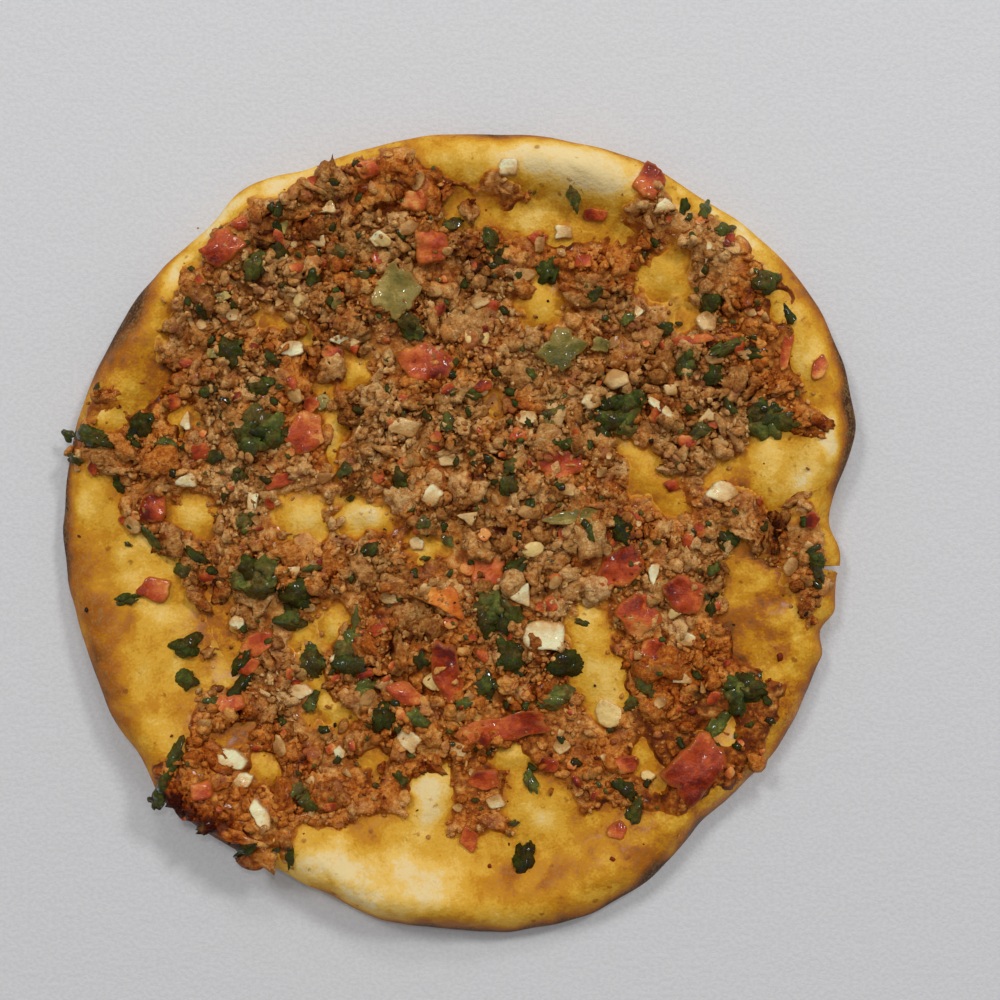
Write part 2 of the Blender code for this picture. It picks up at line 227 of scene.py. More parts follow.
def bread_bottom(angle, share):
    """The lower surface: the underside, rounded up to the edge by just under half the dough."""
    thick = body_thickness(angle, share)
    return underside(angle, share) + 0.45 * thick * (1 - edge_fall(share))


print("outline middle:", round(CENTRE_X, 2), round(CENTRE_Y, 2))

# %% [markdown]
# ## A map of the whole bread
# What lies on the bread depends on what lies under it: crumbs rest on the mince, herbs on the crumbs. A
# square map with a height every quarter of a millimetre keeps the top of the heap as it grows. Pieces read
# their height from it and then raise it. A physics simulation of ten thousand crumbs would take far longer
# and look no better.

# %% The map
CELL, HALF = 0.25, 82.0
AXIS = np.arange(-HALF, HALF, CELL)
MAP_X, MAP_Y = np.meshgrid(AXIS, AXIS, indexing="ij")


def read(field, x, y):
    """The field's value at these places, blended between the four cells round each."""
    u = np.clip((np.asarray(x) + HALF) / CELL, 0, len(AXIS) - 1.001)
    v = np.clip((np.asarray(y) + HALF) / CELL, 0, len(AXIS) - 1.001)
    i, j = u.astype(int), v.astype(int)
    a, b = u - i, v - j
    near = field[i, j] * (1 - b) + field[i, j + 1] * b
    far = field[i + 1, j] * (1 - b) + field[i + 1, j + 1] * b
    return near * (1 - a) + far * a


def blurred(field, radius):
    """The field averaged over about this radius: three running means along each axis."""
    half = max(1, round(radius / CELL / 1.7))
    for axis in (0, 1):
        for _ in range(3):
            padded = np.pad(field, [(half + 1, half) if a == axis else (0, 0) for a in (0, 1)], mode="edge")
            total = np.cumsum(padded, axis=axis)
            width = 2 * half + 1
            high = np.take(total, range(width, total.shape[axis]), axis=axis)
            low = np.take(total, range(0, total.shape[axis] - width), axis=axis)
            field = (high - low) / width
    return field


MAP_LEFT = polar(MAP_X, MAP_Y)[2]
BREAD_MAP = bread_top(MAP_X, MAP_Y)
print("map cells:", BREAD_MAP.size, "highest bread:", round(float(BREAD_MAP.max()), 1), "mm")

# %% [markdown]
# ## Where the mince lies
# The mince was spread by hand, so it is heaped in the middle, smeared thin at the lower left and right, and
# missing where the bread blistered. Its cover is 1 where it lies and 0 where it doesn't: the distance to
# the edge and to each bare place, with the coordinates shaken by noise so that its border is ragged.

# %% The mince's cover and thickness
MINCE_OVER_EDGE = ((100, 9, 9, 2.4), (163, 12, 12, 2.8), (229, 16, 16, 4.6), (320, 14, 12, 1.4))
# Small bare gaps between the crumbs: x, y, half-length, half-width, turn.
GAPS = (
    (-7, -3, 3.6, 2.6, 10), (-45, -17, 2.6, 7, 14), (-46, -26, 3.4, 3, 0), (-42, -38, 5.5, 2.8, 10),
    (31, 17, 3.2, 3, 0), (44, 41, 2.8, 2.6, 0), (12, 59.5, 5, 3, 0), (-60, 29, 6, 4.5, 20),
    (-35, 40, 3, 2, 0), (53, -4, 3, 4, 0), (-12, 8.5, 2.5, 2, 0), (49, -38, 3, 2, 0), (-30, -20, 2, 3, 0),
    (-66, 22, 3, 2, 0), (-28, 38, 2.4, 4, 10), (-52, 21, 2, 4, -10), (-27, 28, 2, 3, 20),
    (-26, -28, 2, 5, 10), (22, 58.5, 11, 4, -10), (1, 62, 7, 3.2, -10), (50, 12, 3, 3, 0),
    (36, -44, 3, 5, 20), (70, 27, 4, 8, 12), (72, 15, 4, 8, 0), (-16, -44, 4, 2.4, 10), (6, 24, 3, 2, 40),
    (60, 42, 2.4, 3, 0), (72, -4, 3.4, 10, 0),
)
# Heaped and smeared places: x, y, half-length, half-width, turn, strength.
HEAPED = (
    (-25, 55, 22, 16, -30, 1.0), (-5, 25, 22, 18, -35, 1.1), (22, -2, 18, 12, -30, 0.9),
    (0, -24, 16, 18, 0, 0.9), (-38, 20, 14, 14, 0, 0.5), (40, 28, 16, 16, 0, 0.5),
    (-62, 10, 10, 12, 0, 0.4), (-42, -52, 14, 8, -40, 0.5),
)
SMEARED = (
    (46, -42, 26, 15, 38, 1.0), (38, -24, 12, 14, 10, 0.5), (-42, -52, 15, 7, -36, 0.8),
    (62, 38, 7, 16, 14, 0.9), (6, -48, 24, 9, 0, 0.8), (20, 58, 18, 6, -8, 0.9), (56, 4, 8, 12, 0, 0.6),
    (-44, -22, 8, 16, 8, 0.7), (-65, 26, 12, 9, 0, 0.9), (64, -3, 9, 9, 0, 0.85), (-20, -48, 14, 6, 0, 0.6),
    (48, 50, 10, 12, 40, 0.5), (-46, 50, 5, 10, -40, 0.5), (4, 66, 16, 4, 0, 0.6),
    (-28, 26, 6, 14, 10, 0.3),
)


def patched(x, y, patches):
    """The strongest of the patches here."""
    return np.max([p[5] * smooth(1.25 * (1.25 - bare_share(x, y, p))) for p in patches], axis=0)


MINCE_MARGIN, EDGE_FADE, GAP_FADE = 3.6, 2.0, 3.2


def cover_at(x, y):
    """1 on the mince and 0 off it, with a ragged border."""
    sx = x + 1.9 * uneven(x, y, size=3.2, seed=11) + 1.1 * uneven(x, y, size=7, seed=12)
    sy = y + 1.9 * uneven(x, y, size=3.2, seed=13) + 1.1 * uneven(x, y, size=7, seed=14)
    sx, sy = sx + 0.9 * uneven(x, y, size=1.4, seed=15), sy + 0.9 * uneven(x, y, size=1.4, seed=16)
    angle, _, left = polar(sx, sy)
    cover = smooth((left - MINCE_MARGIN + around(angle, MINCE_OVER_EDGE)) / EDGE_FADE + 0.5)
    for place in BARE + tuple((*gap, 0.0) for gap in GAPS):
        width = min(place[2], place[3])
        cover = cover * smooth((bare_share(sx, sy, place) - 1) * width / GAP_FADE + 0.5)
    return cover


COVER = cover_at(MAP_X, MAP_Y)
NEAR_MINCE, BESIDE_MINCE = blurred(COVER, 4.0), blurred(COVER, 1.3)
SMEAR = patched(MAP_X + 2 * uneven(MAP_X, MAP_Y, size=6, seed=17), MAP_Y, SMEARED)
SMEAR = np.maximum(SMEAR, 0.85 * smooth((uneven(MAP_X, MAP_Y, size=7, seed=18) - 0.22) / 0.3))
THICKNESS = 0.75 + sum(p[5] * hill(bare_share(MAP_X, MAP_Y, p), 1.3, 1.3) for p in HEAPED)
THICKNESS = THICKNESS * (1 - 0.7 * SMEAR)
SHAKEN_X = MAP_X + 1.2 * uneven(MAP_X, MAP_Y, size=4, seed=21)
LUMPS, _ = pebbled(SHAKEN_X, MAP_Y, 5.2, seed=22)
SMALL_LUMPS, _ = pebbled(SHAKEN_X, MAP_Y, 2.3, seed=25)
GRAINS, _ = pebbled(MAP_X, MAP_Y, 1.15, seed=28)
RELIEF = 0.50 + 0.60 * LUMPS + 0.36 * SMALL_LUMPS
CORE = BREAD_MAP - 0.5 + COVER * (0.5 + THICKNESS * RELIEF + 0.22 * GRAINS)
heap = np.maximum(BREAD_MAP, CORE)
print("mince covers", round(float(COVER.sum() * CELL**2 / 100)), "square centimetres")

# %% [markdown]
# ## Closed surfaces
# Bread, crumbs, chopped pieces and leaves are all closed balls pushed into shape: rings of points from a
# top pole to a bottom pole. One helper gives a ball's faces, another makes many balls into one mesh, and a
# third makes the object and hands it to the frame.


# %% Mesh helpers
def ball_faces(rings, segments):
    """Faces of a ball of rings - 1 rings between two poles: quads between rings, and a fan at each pole."""
    step = np.arange(segments)
    after = (step + 1) % segments
    rows = 1 + np.arange(rings - 2)[:, None] * segments
    a, b = rows + step, rows + after
    quads = np.stack([a, a + segments, b + segments, b], axis=-1).reshape(-1, 4)
    last = 1 + (rings - 1) * segments
    top = np.stack([0 * step, 1 + step, 1 + after], axis=-1)
    bottom = np.stack([0 * step + last, last - segments + after, last - segments + step], axis=-1)
    return quads, np.concatenate([top, bottom])


def ball_angles(rings, segments):
    """For each point of such a ball, its angle from the top pole and its turn round the axis."""
    down = np.repeat(np.arange(1, rings) * np.pi / rings, segments)
    round_it = np.tile(np.arange(segments) * 2 * np.pi / segments, rings - 1)
    return np.concatenate([[0.0], down, [np.pi]])[None], np.concatenate([[0.0], round_it, [0.0]])[None]


def repeated(faces, count, size):
    """The same faces for each of many pieces, whose points follow each other."""
    return (faces[None] + (np.arange(count) * size)[:, None, None]).reshape(-1, faces.shape[1])


def many_balls(count, rings, segments):
    """The faces of that many such balls."""
    size = 2 + (rings - 1) * segments
    return [repeated(group, count, size) for group in ball_faces(rings, segments)]


def add_piece(name, points, faces, finish, slot, nodes=(), **fields):
    """A smooth object of the points (in millimetres) and faces, riding on the frame. Its fields, such as
    tint, become attributes of its points."""
    mesh = bpy.data.meshes.new(name)
    mesh.from_pydata((points * MM).tolist(), [], [face for group in faces for face in group.tolist()])
    for field, values in fields.items():
        attribute = mesh.attributes.new(field, "FLOAT", "POINT")
        attribute.data.foreach_set("value", np.asarray(values, np.float32).ravel())
    mesh.shade_smooth()
    mesh.materials.append(finish)
    obj = bpy.data.objects.new(name, mesh)
    bpy.context.scene.collection.objects.link(obj)
    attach(obj, "root")
    if nodes:
        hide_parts(*nodes)
    triangles = sum(len(group) * (group.shape[1] - 2) for group in faces)
    print(f"{name}: {triangles} triangles")
    return obj


# %% [markdown]
# ## Shader sums as Python expressions
# A finish is a graph of nodes. Written node by node it is long and hard to read, so a small class wraps an
# output and lets +, -, * and / add the Math nodes. Colours go through Mix nodes instead, as a Math node
# would turn them grey.


# %% The Wire class and the Finish class
class Wire:
    """An output of a node that takes part in sums."""

    def __init__(self, finish, socket):
        self.finish, self.socket = finish, socket

    def maths(self, operation, *values):
        return self.finish.node("Math", {"operation": operation}, dict(enumerate(values)))

    def __add__(self, other):
        return self.maths("ADD", self, other)

    def __sub__(self, other):
        return self.maths("SUBTRACT", self, other)

    def __rsub__(self, other):
        return self.maths("SUBTRACT", other, self)

    def __mul__(self, other):
        return self.maths("MULTIPLY", self, other)

    __radd__, __rmul__ = __add__, __mul__

    def held(self):
        """Held between 0 and 1."""
        return self.finish.node("Clamp", {}, {"Value": self})

    def step(self, low, high):
        """0 below low, 1 above high, and an even S between."""
        values = {"Value": self, "From Min": low, "From Max": high}
        return self.finish.node("MapRange", {"interpolation_type": "SMOOTHSTEP"}, values)


class Finish:
    """A material, with its Principled shader."""

    def __init__(self, name, **constants):
        self.material = bpy.data.materials.new(name)
        self.material.use_nodes = True
        self.tree = self.material.node_tree
        self.shader = self.tree.nodes["Principled BSDF"]
        for socket, value in constants.items():
            self.shader.inputs[socket.replace("_", " ")].default_value = value
        self.place = self.node("TexCoord", output="Object")

    def node(self, kind, settings=None, values=None, output=0):
        """Adds a node of this kind, with its settings first and then its inputs' values or wires."""
        node = self.tree.nodes.new("ShaderNode" + kind)
        for key, value in (settings or {}).items():
            setattr(node, key, value)
        for key, value in (values or {}).items():
            self.join(node.inputs[key], value)
        return Wire(self, node.outputs[output])

    def join(self, socket, value):
        if isinstance(value, Wire):
            self.tree.links.new(value.socket, socket)
        else:
            socket.default_value = (*value, 1) if isinstance(value, tuple) and len(value) == 3 else value

    def field(self, name):
        """A field stored on the mesh: one number for each point."""
        return self.node("Attribute", {"attribute_name": name}, output="Fac")

    def grain(self, size, detail=2.0, roughness=0.5):
        """Noise from 0 to 1 with lumps of this size in millimetres."""
        values = {"Vector": self.place, "Scale": 1000 / size, "Detail": detail, "Roughness": roughness}
        return self.node("TexNoise", {}, values)

    def beads(self, size):
        """Rounded grains packed side by side: 1 at the middle of each and about 0 in the creases."""
        values = {"Vector": self.place, "Scale": 1000 / size}
        away = self.node("TexVoronoi", {}, values, output="Distance")
        return 1 - 1.6 * away * away

    def blend(self, first, second, share):
        """The first colour where share is 0 and the second where it is 1."""
        node = self.tree.nodes.new("ShaderNodeMix")
        node.data_type = "RGBA"
        for socket, value in ((node.inputs[0], share), (node.inputs[6], first), (node.inputs[7], second)):
            self.join(socket, value)
        return Wire(self, node.outputs[2])

    def ramp(self, share, *colours):
        """Blends through the colours in even steps as share goes from 0 to 1."""
        width = 1 / (len(colours) - 1)
        mixed = colours[0]
        for k, colour in enumerate(colours[1:]):
            mixed = self.blend(mixed, colour, share.step(k * width, (k + 1) * width))
        return mixed

    def bump(self, height, distance):
        """A Normal that tilts as a relief of this height, times a distance in millimetres, would."""
        return self.node("Bump", {}, {"Height": height, "Distance": distance * MM, "Strength": 1.0})

    def surface(self, **sockets):
        for socket, value in sockets.items():
            self.join(self.shader.inputs[socket.replace("_", " ")], value)
        return self.material


LIT = 0.80
GLOSS = 0.006


def tone(red, green, blue):
    """The paint that shows as this display colour (0 to 255) under the lamps below. The white that its gloss
    adds is taken off."""
    shown = np.array([red, green, blue]) / 255
    linear = np.where(shown <= 0.04045, shown / 12.92, ((shown + 0.055) / 1.055) ** 2.4)
    return tuple(float(np.clip((value - GLOSS) / LIT, 0.0005, 0.95)) for value in linear)


def tones(*colours):
    """The paints for several display colours."""
    return tuple(tone(*colour) for colour in colours)


print("golden crust paint:", [round(v, 3) for v in tone(207, 149, 52)])

# %% [markdown]
# ## The crust
# Dough bakes along one scale of colours: cream, pale yellow, gold, orange where fat has soaked in, brown,
# and nearly black on the very edge. So one field says how far along that scale each point of the mesh is,
# with a painted highlight on the blisters' crowns and painted shade in the hollows between, and a second says
# how oily it is. The shader adds fine noise to both, so that no border is clean.

# %% The crust's fields
# Places that stayed paler or baked darker: x, y, half-length, half-width, turn, and change along the scale.
BAKED = (
    (24, 70, 15, 4.5, -14, -0.32), (4, 73.5, 12, 3, 0, -0.06), (-34, 67, 10, 2.6, 26, -0.30),
    (-45, 61, 6, 2, 42, -0.35), (50, 60.5, 12, 1.8, -38, -0.35), (-59, -15, 4.5, 18, 12, -0.13),
    (-60, -30, 5, 5, 0, 0.07), (-56, -1, 5, 3, 0, -0.16), (-14, -65, 21, 5.5, -6, -0.30),
    (-4, -60, 14, 5, 0, -0.16), (69.2, 18, 1.8, 6, 4, -0.40), (-53.5, 47, 1.6, 8, -28, -0.22),
    (61, 12, 5, 5, 0, -0.12), (15, -53, 5, 5, 0, -0.06), (26, -30, 3, 6, 10, -0.10),
    (24, -14, 2.6, 5, 10, -0.18), (-5, -50, 3.6, 6, -20, -0.26), (-17.5, 3.5, 5, 2.8, -8, -0.22),
    (-24.5, 18, 2, 5.5, -12, -0.20), (-50.5, 4, 3, 3, 0, -0.10), (-28.5, 4, 2.6, 3.4, 0, -0.10),
    (12, 60, 5, 2.4, 0, -0.22), (62, 38, 2.6, 7, 12, -0.14), (57, -14, 3, 4, 10, -0.06),
    (52, -22, 4.5, 6, 0, 0.26), (60.4, -22.6, 2.6, 2.6, 0, 0.3), (60, -16, 3, 5, 0, 0.14),
    (30, -45, 5, 3, 30, -0.14), (-43, -27, 3, 3, 0, -0.10), (9, 69, 3, 3, 0, -0.08),
    (-67, -14, 4.2, 18, 9, 0.28), (-62, -36, 3, 9, 30, 0.08), (-66, 8, 5, 4, 0, 0.06),
    (-69, 1, 2.2, 6, -8, -0.12), (-59, 30, 9, 6, 0, 0.20), (20, 63, 7, 2.2, -12, 0.06),
    (22, 58.5, 12, 3, -8, 0.06), (-10, 71, 8, 2.6, 10, 0.14), (55, 8, 4, 6, 0, 0.20),
    (57, -10, 7, 8, 0, 0.12), (60, -26, 7, 10, 0, 0.04), (40, -57, 12, 3, 32, 0.14),
    (28, -63, 14, 4, 18, 0.17), (10, -66, 10, 4, 8, 0.14), (-43, -38, 7, 4, 10, 0.22),
    (-45, -18, 5, 10, 0, 0.18), (37, 10, 7, 3, -42, 0.10), (40, 49, 3.4, 4, 0, 0.10),
    (66, 25, 3, 6, 0, 0.18), (64, -34, 4, 12, -20, 0.16), (-26, -64, 6, 2.4, -40, 0.12),
    (60, -4, 8, 3, 0, 0.2),
)
OILY = (
    (61, -25, 9, 24, 8, 0.85), (-45, -20, 9, 14, 0, 0.8), (-43, -38, 11, 7, 10, 0.8),
    (-60, 29, 10, 7, 0, 0.8), (42, -50, 20, 9, 28, 0.9), (20, 59, 14, 5, -10, 0.8),
    (56, 42, 10, 14, 20, 0.4), (-14, -66, 14, 5, -6, 0.35), (36, -57, 16, 5, 25, 0.5),
    (58, 6, 8, 8, 0, 0.5),
)
# Browned stretches of the rim: angle, half-widths, strength, and how far in they reach.
BROWNED = (
    (146, 12, 12, 0.85, 4.6), (156, 8, 8, 0.15, 2.0), (172, 12, 14, 0.6, 2.2), (182, 14, 10, 0.60, 2.2),
    (192, 18, 22, 0.26, 5.5), (210, 16, 22, 0.06, 4.2), (66, 40, 26, 0.40, 1.8), (84, 13, 11, 0.50, 2.8),
    (18, 10, 14, 0.8, 3.4), (14, 10, 8, 0.25, 3.0), (8, 9, 8, 0.40, 1.8), (10, 10, 12, 0.12, 8.0),
    (30, 12, 16, 0.3, 3.0), (318, 16, 14, 0.28, 3.2), (338, 16, 16, 0.25, 3.0), (352, 10, 12, 0.22, 1.6),
    (231, 12, 16, 0.7, 6.0), (252, 12, 14, 0.38, 4.0), (266, 14, 14, 0.32, 6.5), (275, 30, 26, 0.25, 2.0),
    (292, 30, 34, 0.48, 1.3), (286, 30, 34, 0.16, 9.0), (300, 22, 20, 0.06, 2.6), (120, 20, 20, 0.2, 1.4),
    (136, 8, 8, 0.12, 3.0),
)
# Painted light: the crust is painted paler on the crowns of the blisters and darker in the hollows between
# them.
LIT_CROWNS_SHADED_HOLLOWS = np.clip((BREAD_MAP - blurred(BREAD_MAP, 3.2)) / 0.45, -1, 1)


def crust_fields(x, y):
    """How far the crust has baked, from 0, cream, to 1, charred, and its oil. Both are sums of hills: round
    each place in the tables, along the rim and near the mince. The first is also lower on the crowns of the
    blisters and higher in the hollows between them, a painted highlight and painted shade."""
    angle, _, left = polar(x, y)
    shake_x = 1.5 * uneven(x, y, size=6, seed=31) + 0.8 * uneven(x, y, size=2.2, seed=32)
    shake_y = 1.5 * uneven(x, y, size=6, seed=33) + 0.8 * uneven(x, y, size=2.2, seed=34)
    near = smooth(read(NEAR_MINCE, x, y) / 0.7)
    inward = np.maximum(left + 0.6 * shake_x, 0)
    rim = sum(s * hill((angle - a + 180) % 360 - 180, b, c) * np.exp(-((inward / depth) ** 1.4))
              for a, b, c, s, depth in BROWNED)
    places = sum(p[5] * smooth(1.5 - bare_share(x + shake_x, y + shake_y, p)) for p in BAKED)
    blotches = 0.10 * uneven(x, y, size=8, seed=38) + 0.10 * uneven(x, y, size=3.2, seed=39)
    stain = 0.14 * smooth(1.6 * read(BESIDE_MINCE, x, y) + 0.4 * uneven(x, y, size=1.8, seed=35))
    baked = 0.36 + 0.06 * near + stain + places + blotches - 0.10 * read(LIT_CROWNS_SHADED_HOLLOWS, x, y) + rim
    oil = 0.6 * near + 0.9 * patched(x + shake_x, y + shake_y, OILY)
    return np.clip(baked, 0, 1), np.clip(oil, 0, 1)


# %% The crust's finish
CRUST_TONES = tones((228, 202, 146), (226, 185, 94), (211, 160, 54), (191, 129, 31), (161, 93, 28),
                    (116, 67, 28), (66, 38, 21))


def crust_finish():
    f = Finish("crust", Specular_IOR_Level=0.15, Coat_Roughness=0.2, Coat_IOR=1.4)
    baked, oil = f.field("baked"), f.field("oil")
    clouds, mottle, fine = f.grain(6, 4, 0.6), f.grain(2.0, 4, 0.65), f.grain(0.5, 3)
    share = baked + (clouds - 0.5) * 0.48 + (mottle - 0.5) * (0.30 + oil * 0.4) + (fine - 0.5) * 0.20
    colour = f.ramp(share.held(), *CRUST_TONES)
    flour = (mottle * 0.5 + fine * 0.5).step(0.46, 0.62) * baked.step(0.42, 0.62) * (1 - oil)
    colour = f.blend(colour, tone(200, 160, 98), flour * 0.26)
    freckles = f.beads(3.0).step(0.90, 0.97) * mottle.step(0.50, 0.62)
    colour = f.blend(colour, tone(124, 66, 20), freckles * 0.6)
    rough = 0.58 - oil * 0.25 + (mottle - 0.5) * 0.3
    relief = f.bump(clouds * 1.6 + mottle * 0.40 + fine * 0.12, 0.40)
    shine = (oil * mottle.step(0.40, 0.66) * 0.55).held()
    return f.surface(Base_Color=colour, Roughness=rough.held(), Coat_Weight=shine, Normal=relief)


# %% [markdown]
# The bread itself is one ball with very many rings. The rings crowd towards the edge, where the form turns
# fast. The tear is a narrow notch, so the rays of points crowd together there.

# %% Make the bread
TOP_RINGS, UNDER_RINGS, SEGMENTS = 128, 30, 620


def bread_points():
    """Upper rings from the middle out, then lower rings back in. A point's radius is a share of the edge, and
    its height comes from the two surfaces above. The rays crowd together round the tear, and those inside it
    stop short of the edge."""
    off = (360 * np.arange(SEGMENTS) / SEGMENTS - TEAR_ANGLE + 180) % 360 - 180
    off = off * (1 - 0.85 * np.exp(-((off / 5) ** 2)))
    turn = TEAR_ANGLE + off
    out = 1 - (1 - np.arange(1, TOP_RINGS + 1) / TOP_RINGS) ** 1.35
    back = 1 - (np.arange(1, UNDER_RINGS) / UNDER_RINGS) ** 1.6
    share = np.concatenate([out, back])[:, None] + 0 * turn
    angle = turn[None, :] + 0 * share
    reach = edge_radius(angle)
    inside = np.abs(np.radians(off) * reach) / (0.5 * TEAR_WIDTH)
    torn = reach - TEAR_DEPTH * np.clip(1 - inside**3, 0, 1)
    x = share * torn * np.cos(np.radians(angle)) - CENTRE_X
    y = share * torn * np.sin(np.radians(angle)) - CENTRE_Y
    upper = np.arange(len(share))[:, None] < TOP_RINGS
    z = np.where(upper, bread_top(x, y), bread_bottom(angle, share * torn / reach))
    ring = np.stack([x, y, z], axis=-1).reshape(-1, 3)
    middle = np.array([-CENTRE_X, -CENTRE_Y])
    return np.concatenate([[[*middle, float(bread_top(*middle))]], ring, [[*middle, 0.0]]])


points = bread_points()
baked, oil = crust_fields(points[:, 0], points[:, 1])
faces = ball_faces(TOP_RINGS + UNDER_RINGS, SEGMENTS)
add_piece("bread", points, faces, crust_finish(), "bread", ["flatbread"], baked=baked, oil=oil)

# %% [markdown]
# ## The mince
# Cooked mince is a heap of crumbs from half a millimetre to six, each knobbly, with dark wet creases
# between them, dark partly from their juice and partly from painted shade through the field low. A core
# with lumps carries the form, and separate crumbs lie on it in four sizes. What is finer still is relief in
# the finish: noise in three sizes, from 1.4 down to 0.45 mm, that also sets the colour, darker where it
# stands higher.


# %% The mince's finish
PLAIN_TONES = tones((226, 182, 122), (196, 142, 82), (162, 104, 50), (124, 66, 27), (64, 30, 8))
ORANGE_TONES = tones((228, 164, 88), (204, 126, 54), (170, 88, 32), (126, 52, 16), (66, 26, 6))
FILM_TONES = tones((210, 156, 60), (186, 114, 36), (140, 72, 24), (84, 38, 13))


def mince_finish(name, coat):
    """Plain and orange mince, each from pale to dark, with rosy and olive patches. Over them lies the film of
    juice and fat, where the mince is thin."""
    f = Finish(name, Specular_IOR_Level=0.10, Coat_Roughness=0.12, Coat_IOR=1.4)
    tint, warm, low, thin = f.field("tint"), f.field("warm"), f.field("low"), f.field("thin")
    clouds, mottle, fine = f.grain(5, 3, 0.6), f.grain(1.4, 4, 0.6), f.grain(0.45, 3, 0.6)
    tiny = f.grain(0.8, 4, 0.75)
    grit = (mottle - 0.5) * 1.1 + (tiny - 0.5) * 1.0 + (fine - 0.5) * 0.5
    # low darkens the creases and the undersides of the crumbs: painted shade, partly also the juice's own
    # darker colour.
    shade = (tint * 0.70 - 0.02 + grit + low * 0.85).held()
    plain, orange = f.ramp(shade, *PLAIN_TONES), f.ramp(shade, *ORANGE_TONES)
    colour = f.blend(plain, orange, (warm + (clouds - 0.5) * 1.2 + (mottle - 0.5) * 0.6).step(0.0, 0.9))
    patch = f.grain(4, 2)
    colour = f.blend(colour, tone(168, 100, 72), patch.step(0.58, 0.72) * 0.45)
    colour = f.blend(colour, tone(122, 100, 52), (1 - patch.step(0.28, 0.42)) * 0.40)
    # The film is darker where it is fattier and thicker, and where low is high, which is painted shade.
    browned_and_shaded = low * 0.4 + tint * 0.3 + warm * 0.70 + (0.6 - thin) * 1.2
    wet = (browned_and_shaded + (mottle - 0.5) * 1.0 + (clouds - 0.5) * 1.2).held()
    film = f.ramp(wet, *FILM_TONES)
    colour = f.blend(colour, film, (thin + (mottle - 0.5) * 0.7).step(0.25, 0.85))
    rough = 0.50 + (mottle - 0.5) * 0.5 - low * 0.15
    relief = f.bump((mottle * 0.9 + tiny * 1.3 + fine * 0.5) * (1 - thin * 0.7), 0.48)
    shine = (mottle.step(0.52, 0.68) * coat).held()
    return f.surface(Base_Color=colour, Roughness=rough.held(), Coat_Weight=shine, Normal=relief)


# %% [markdown]
# Four fields colour the mince. Tint is how dark each crumb is. Warm is how much orange fat it holds, most
# at the lower right. Low is how deep a point lies below the top of the heap round it, and more in the
# listed dark patches; it paints the mince darker, partly as the juice's own dark colour in the creases and
# partly as painted shade there and under the crumbs. Thin is where the layer is only a film on the bread.

# %% The mince's fields
WARM_PATCHES = (
    (44, -40, 28, 22, 38, 1.0), (2, -38, 26, 18, 0, 0.7), (60, 34, 9, 20, 14, 0.9),
    (-42, -46, 18, 14, -30, 0.8), (-30, -4, 10, 8, 0, 0.5), (22, 56, 18, 8, -8, 0.9),
    (-10, 66, 16, 6, 0, 0.5), (-60, 24, 12, 10, 0, 0.7), (-28, 24, 8, 14, 10, 0.5), (30, 0, 14, 14, 0, 0.2),
)
WARM_CLOUDS = 0.45 * uneven(MAP_X, MAP_Y, size=6, seed=36)
WARM = np.clip(0.20 + patched(MAP_X, MAP_Y, WARM_PATCHES) + WARM_CLOUDS, 0, 1)
DARK_PATCHES = ((-48, -58, 18, 8, -42, 0.75), (46, -46, 18, 12, 38, 0.16), (0, 54, 12, 5, 0, 0.12))
DARK = patched(MAP_X, MAP_Y, DARK_PATCHES)


def mince_fields(x, y, z, tint):
    """Tint as given, and warm, low and thin read from the map at these points. Low is raised in the listed
    dark patches; it darkens the colour, partly as painted shade."""
    low = np.clip((read(blurred(heap, 1.1), x, y) - z + 0.1) / 1.3, 0, 1)
    low = np.clip(low + read(DARK, x, y), 0, 1)
    thin = np.clip(1.45 - read(COVER, x, y) * (1.55 - 0.70 * read(SMEAR, x, y)), 0, 1)
    return {"tint": tint, "warm": read(WARM, x, y), "low": low, "thin": thin}


# %% Make the core
CORE_TOP, CORE_UNDER, CORE_SEGMENTS = 178, 8, 520


def core_points():
    """As the bread, but its edge is held just inside the bread's and farther back at the tear. Its underside
    lies in the middle of the dough."""
    turn = 360 * np.arange(CORE_SEGMENTS) / CORE_SEGMENTS
    out = (np.arange(1, CORE_TOP + 1) / CORE_TOP) ** 0.85 * 0.985
    back = 0.985 * (1 - np.arange(1, CORE_UNDER) / CORE_UNDER)
    share = np.concatenate([out, back])[:, None] + 0 * turn
    angle = turn[None, :] + 0 * share
    reach = edge_radius(angle) - 1.4 * TEAR_DEPTH * hill((angle - TEAR_ANGLE + 180) % 360 - 180, 1.8, 1.8)
    x = share * reach * np.cos(np.radians(angle)) - CENTRE_X
    y = share * reach * np.sin(np.radians(angle)) - CENTRE_Y
    within = underside(angle, share) + 0.5 * body_thickness(angle, share) * edge_fall(share)
    z = np.where(np.arange(len(share))[:, None] < CORE_TOP, read(CORE, x, y), within)
    ring = np.stack([x, y, z], axis=-1).reshape(-1, 3)
    middle = np.array([-CENTRE_X, -CENTRE_Y])
    return np.concatenate([[[*middle, float(read(CORE, *middle))]], ring, [[*middle, 1.2]]])


points = core_points()
x, y, z = points.T
# The core is painted paler on the tops of its lumps and darker between them, a painted highlight and painted
# shade; the noise is its own uneven colour.
tint = 0.66 - 0.30 * read(LUMPS, x, y) + 0.25 * uneven(x, y, size=3, seed=37)
fields = mince_fields(x, y, z, tint)
fields["warm"] = 0.2 + read(WARM, x, y)
faces = ball_faces(CORE_TOP + CORE_UNDER, CORE_SEGMENTS)
add_piece("mince_core", points, faces, mince_finish("mince_core", 0.7), "mince", ["mince"], **fields)

# %% [markdown]
# Crumbs are small balls with 80 faces, or 20 for the finest and 320 for the big clumps, whose torn edges
# show. They are stretched, made knobbly by noise and turned any way up. They are dealt out on a shaken
# square grid, kept where the mince's cover allows, and set down on the map, largest first.


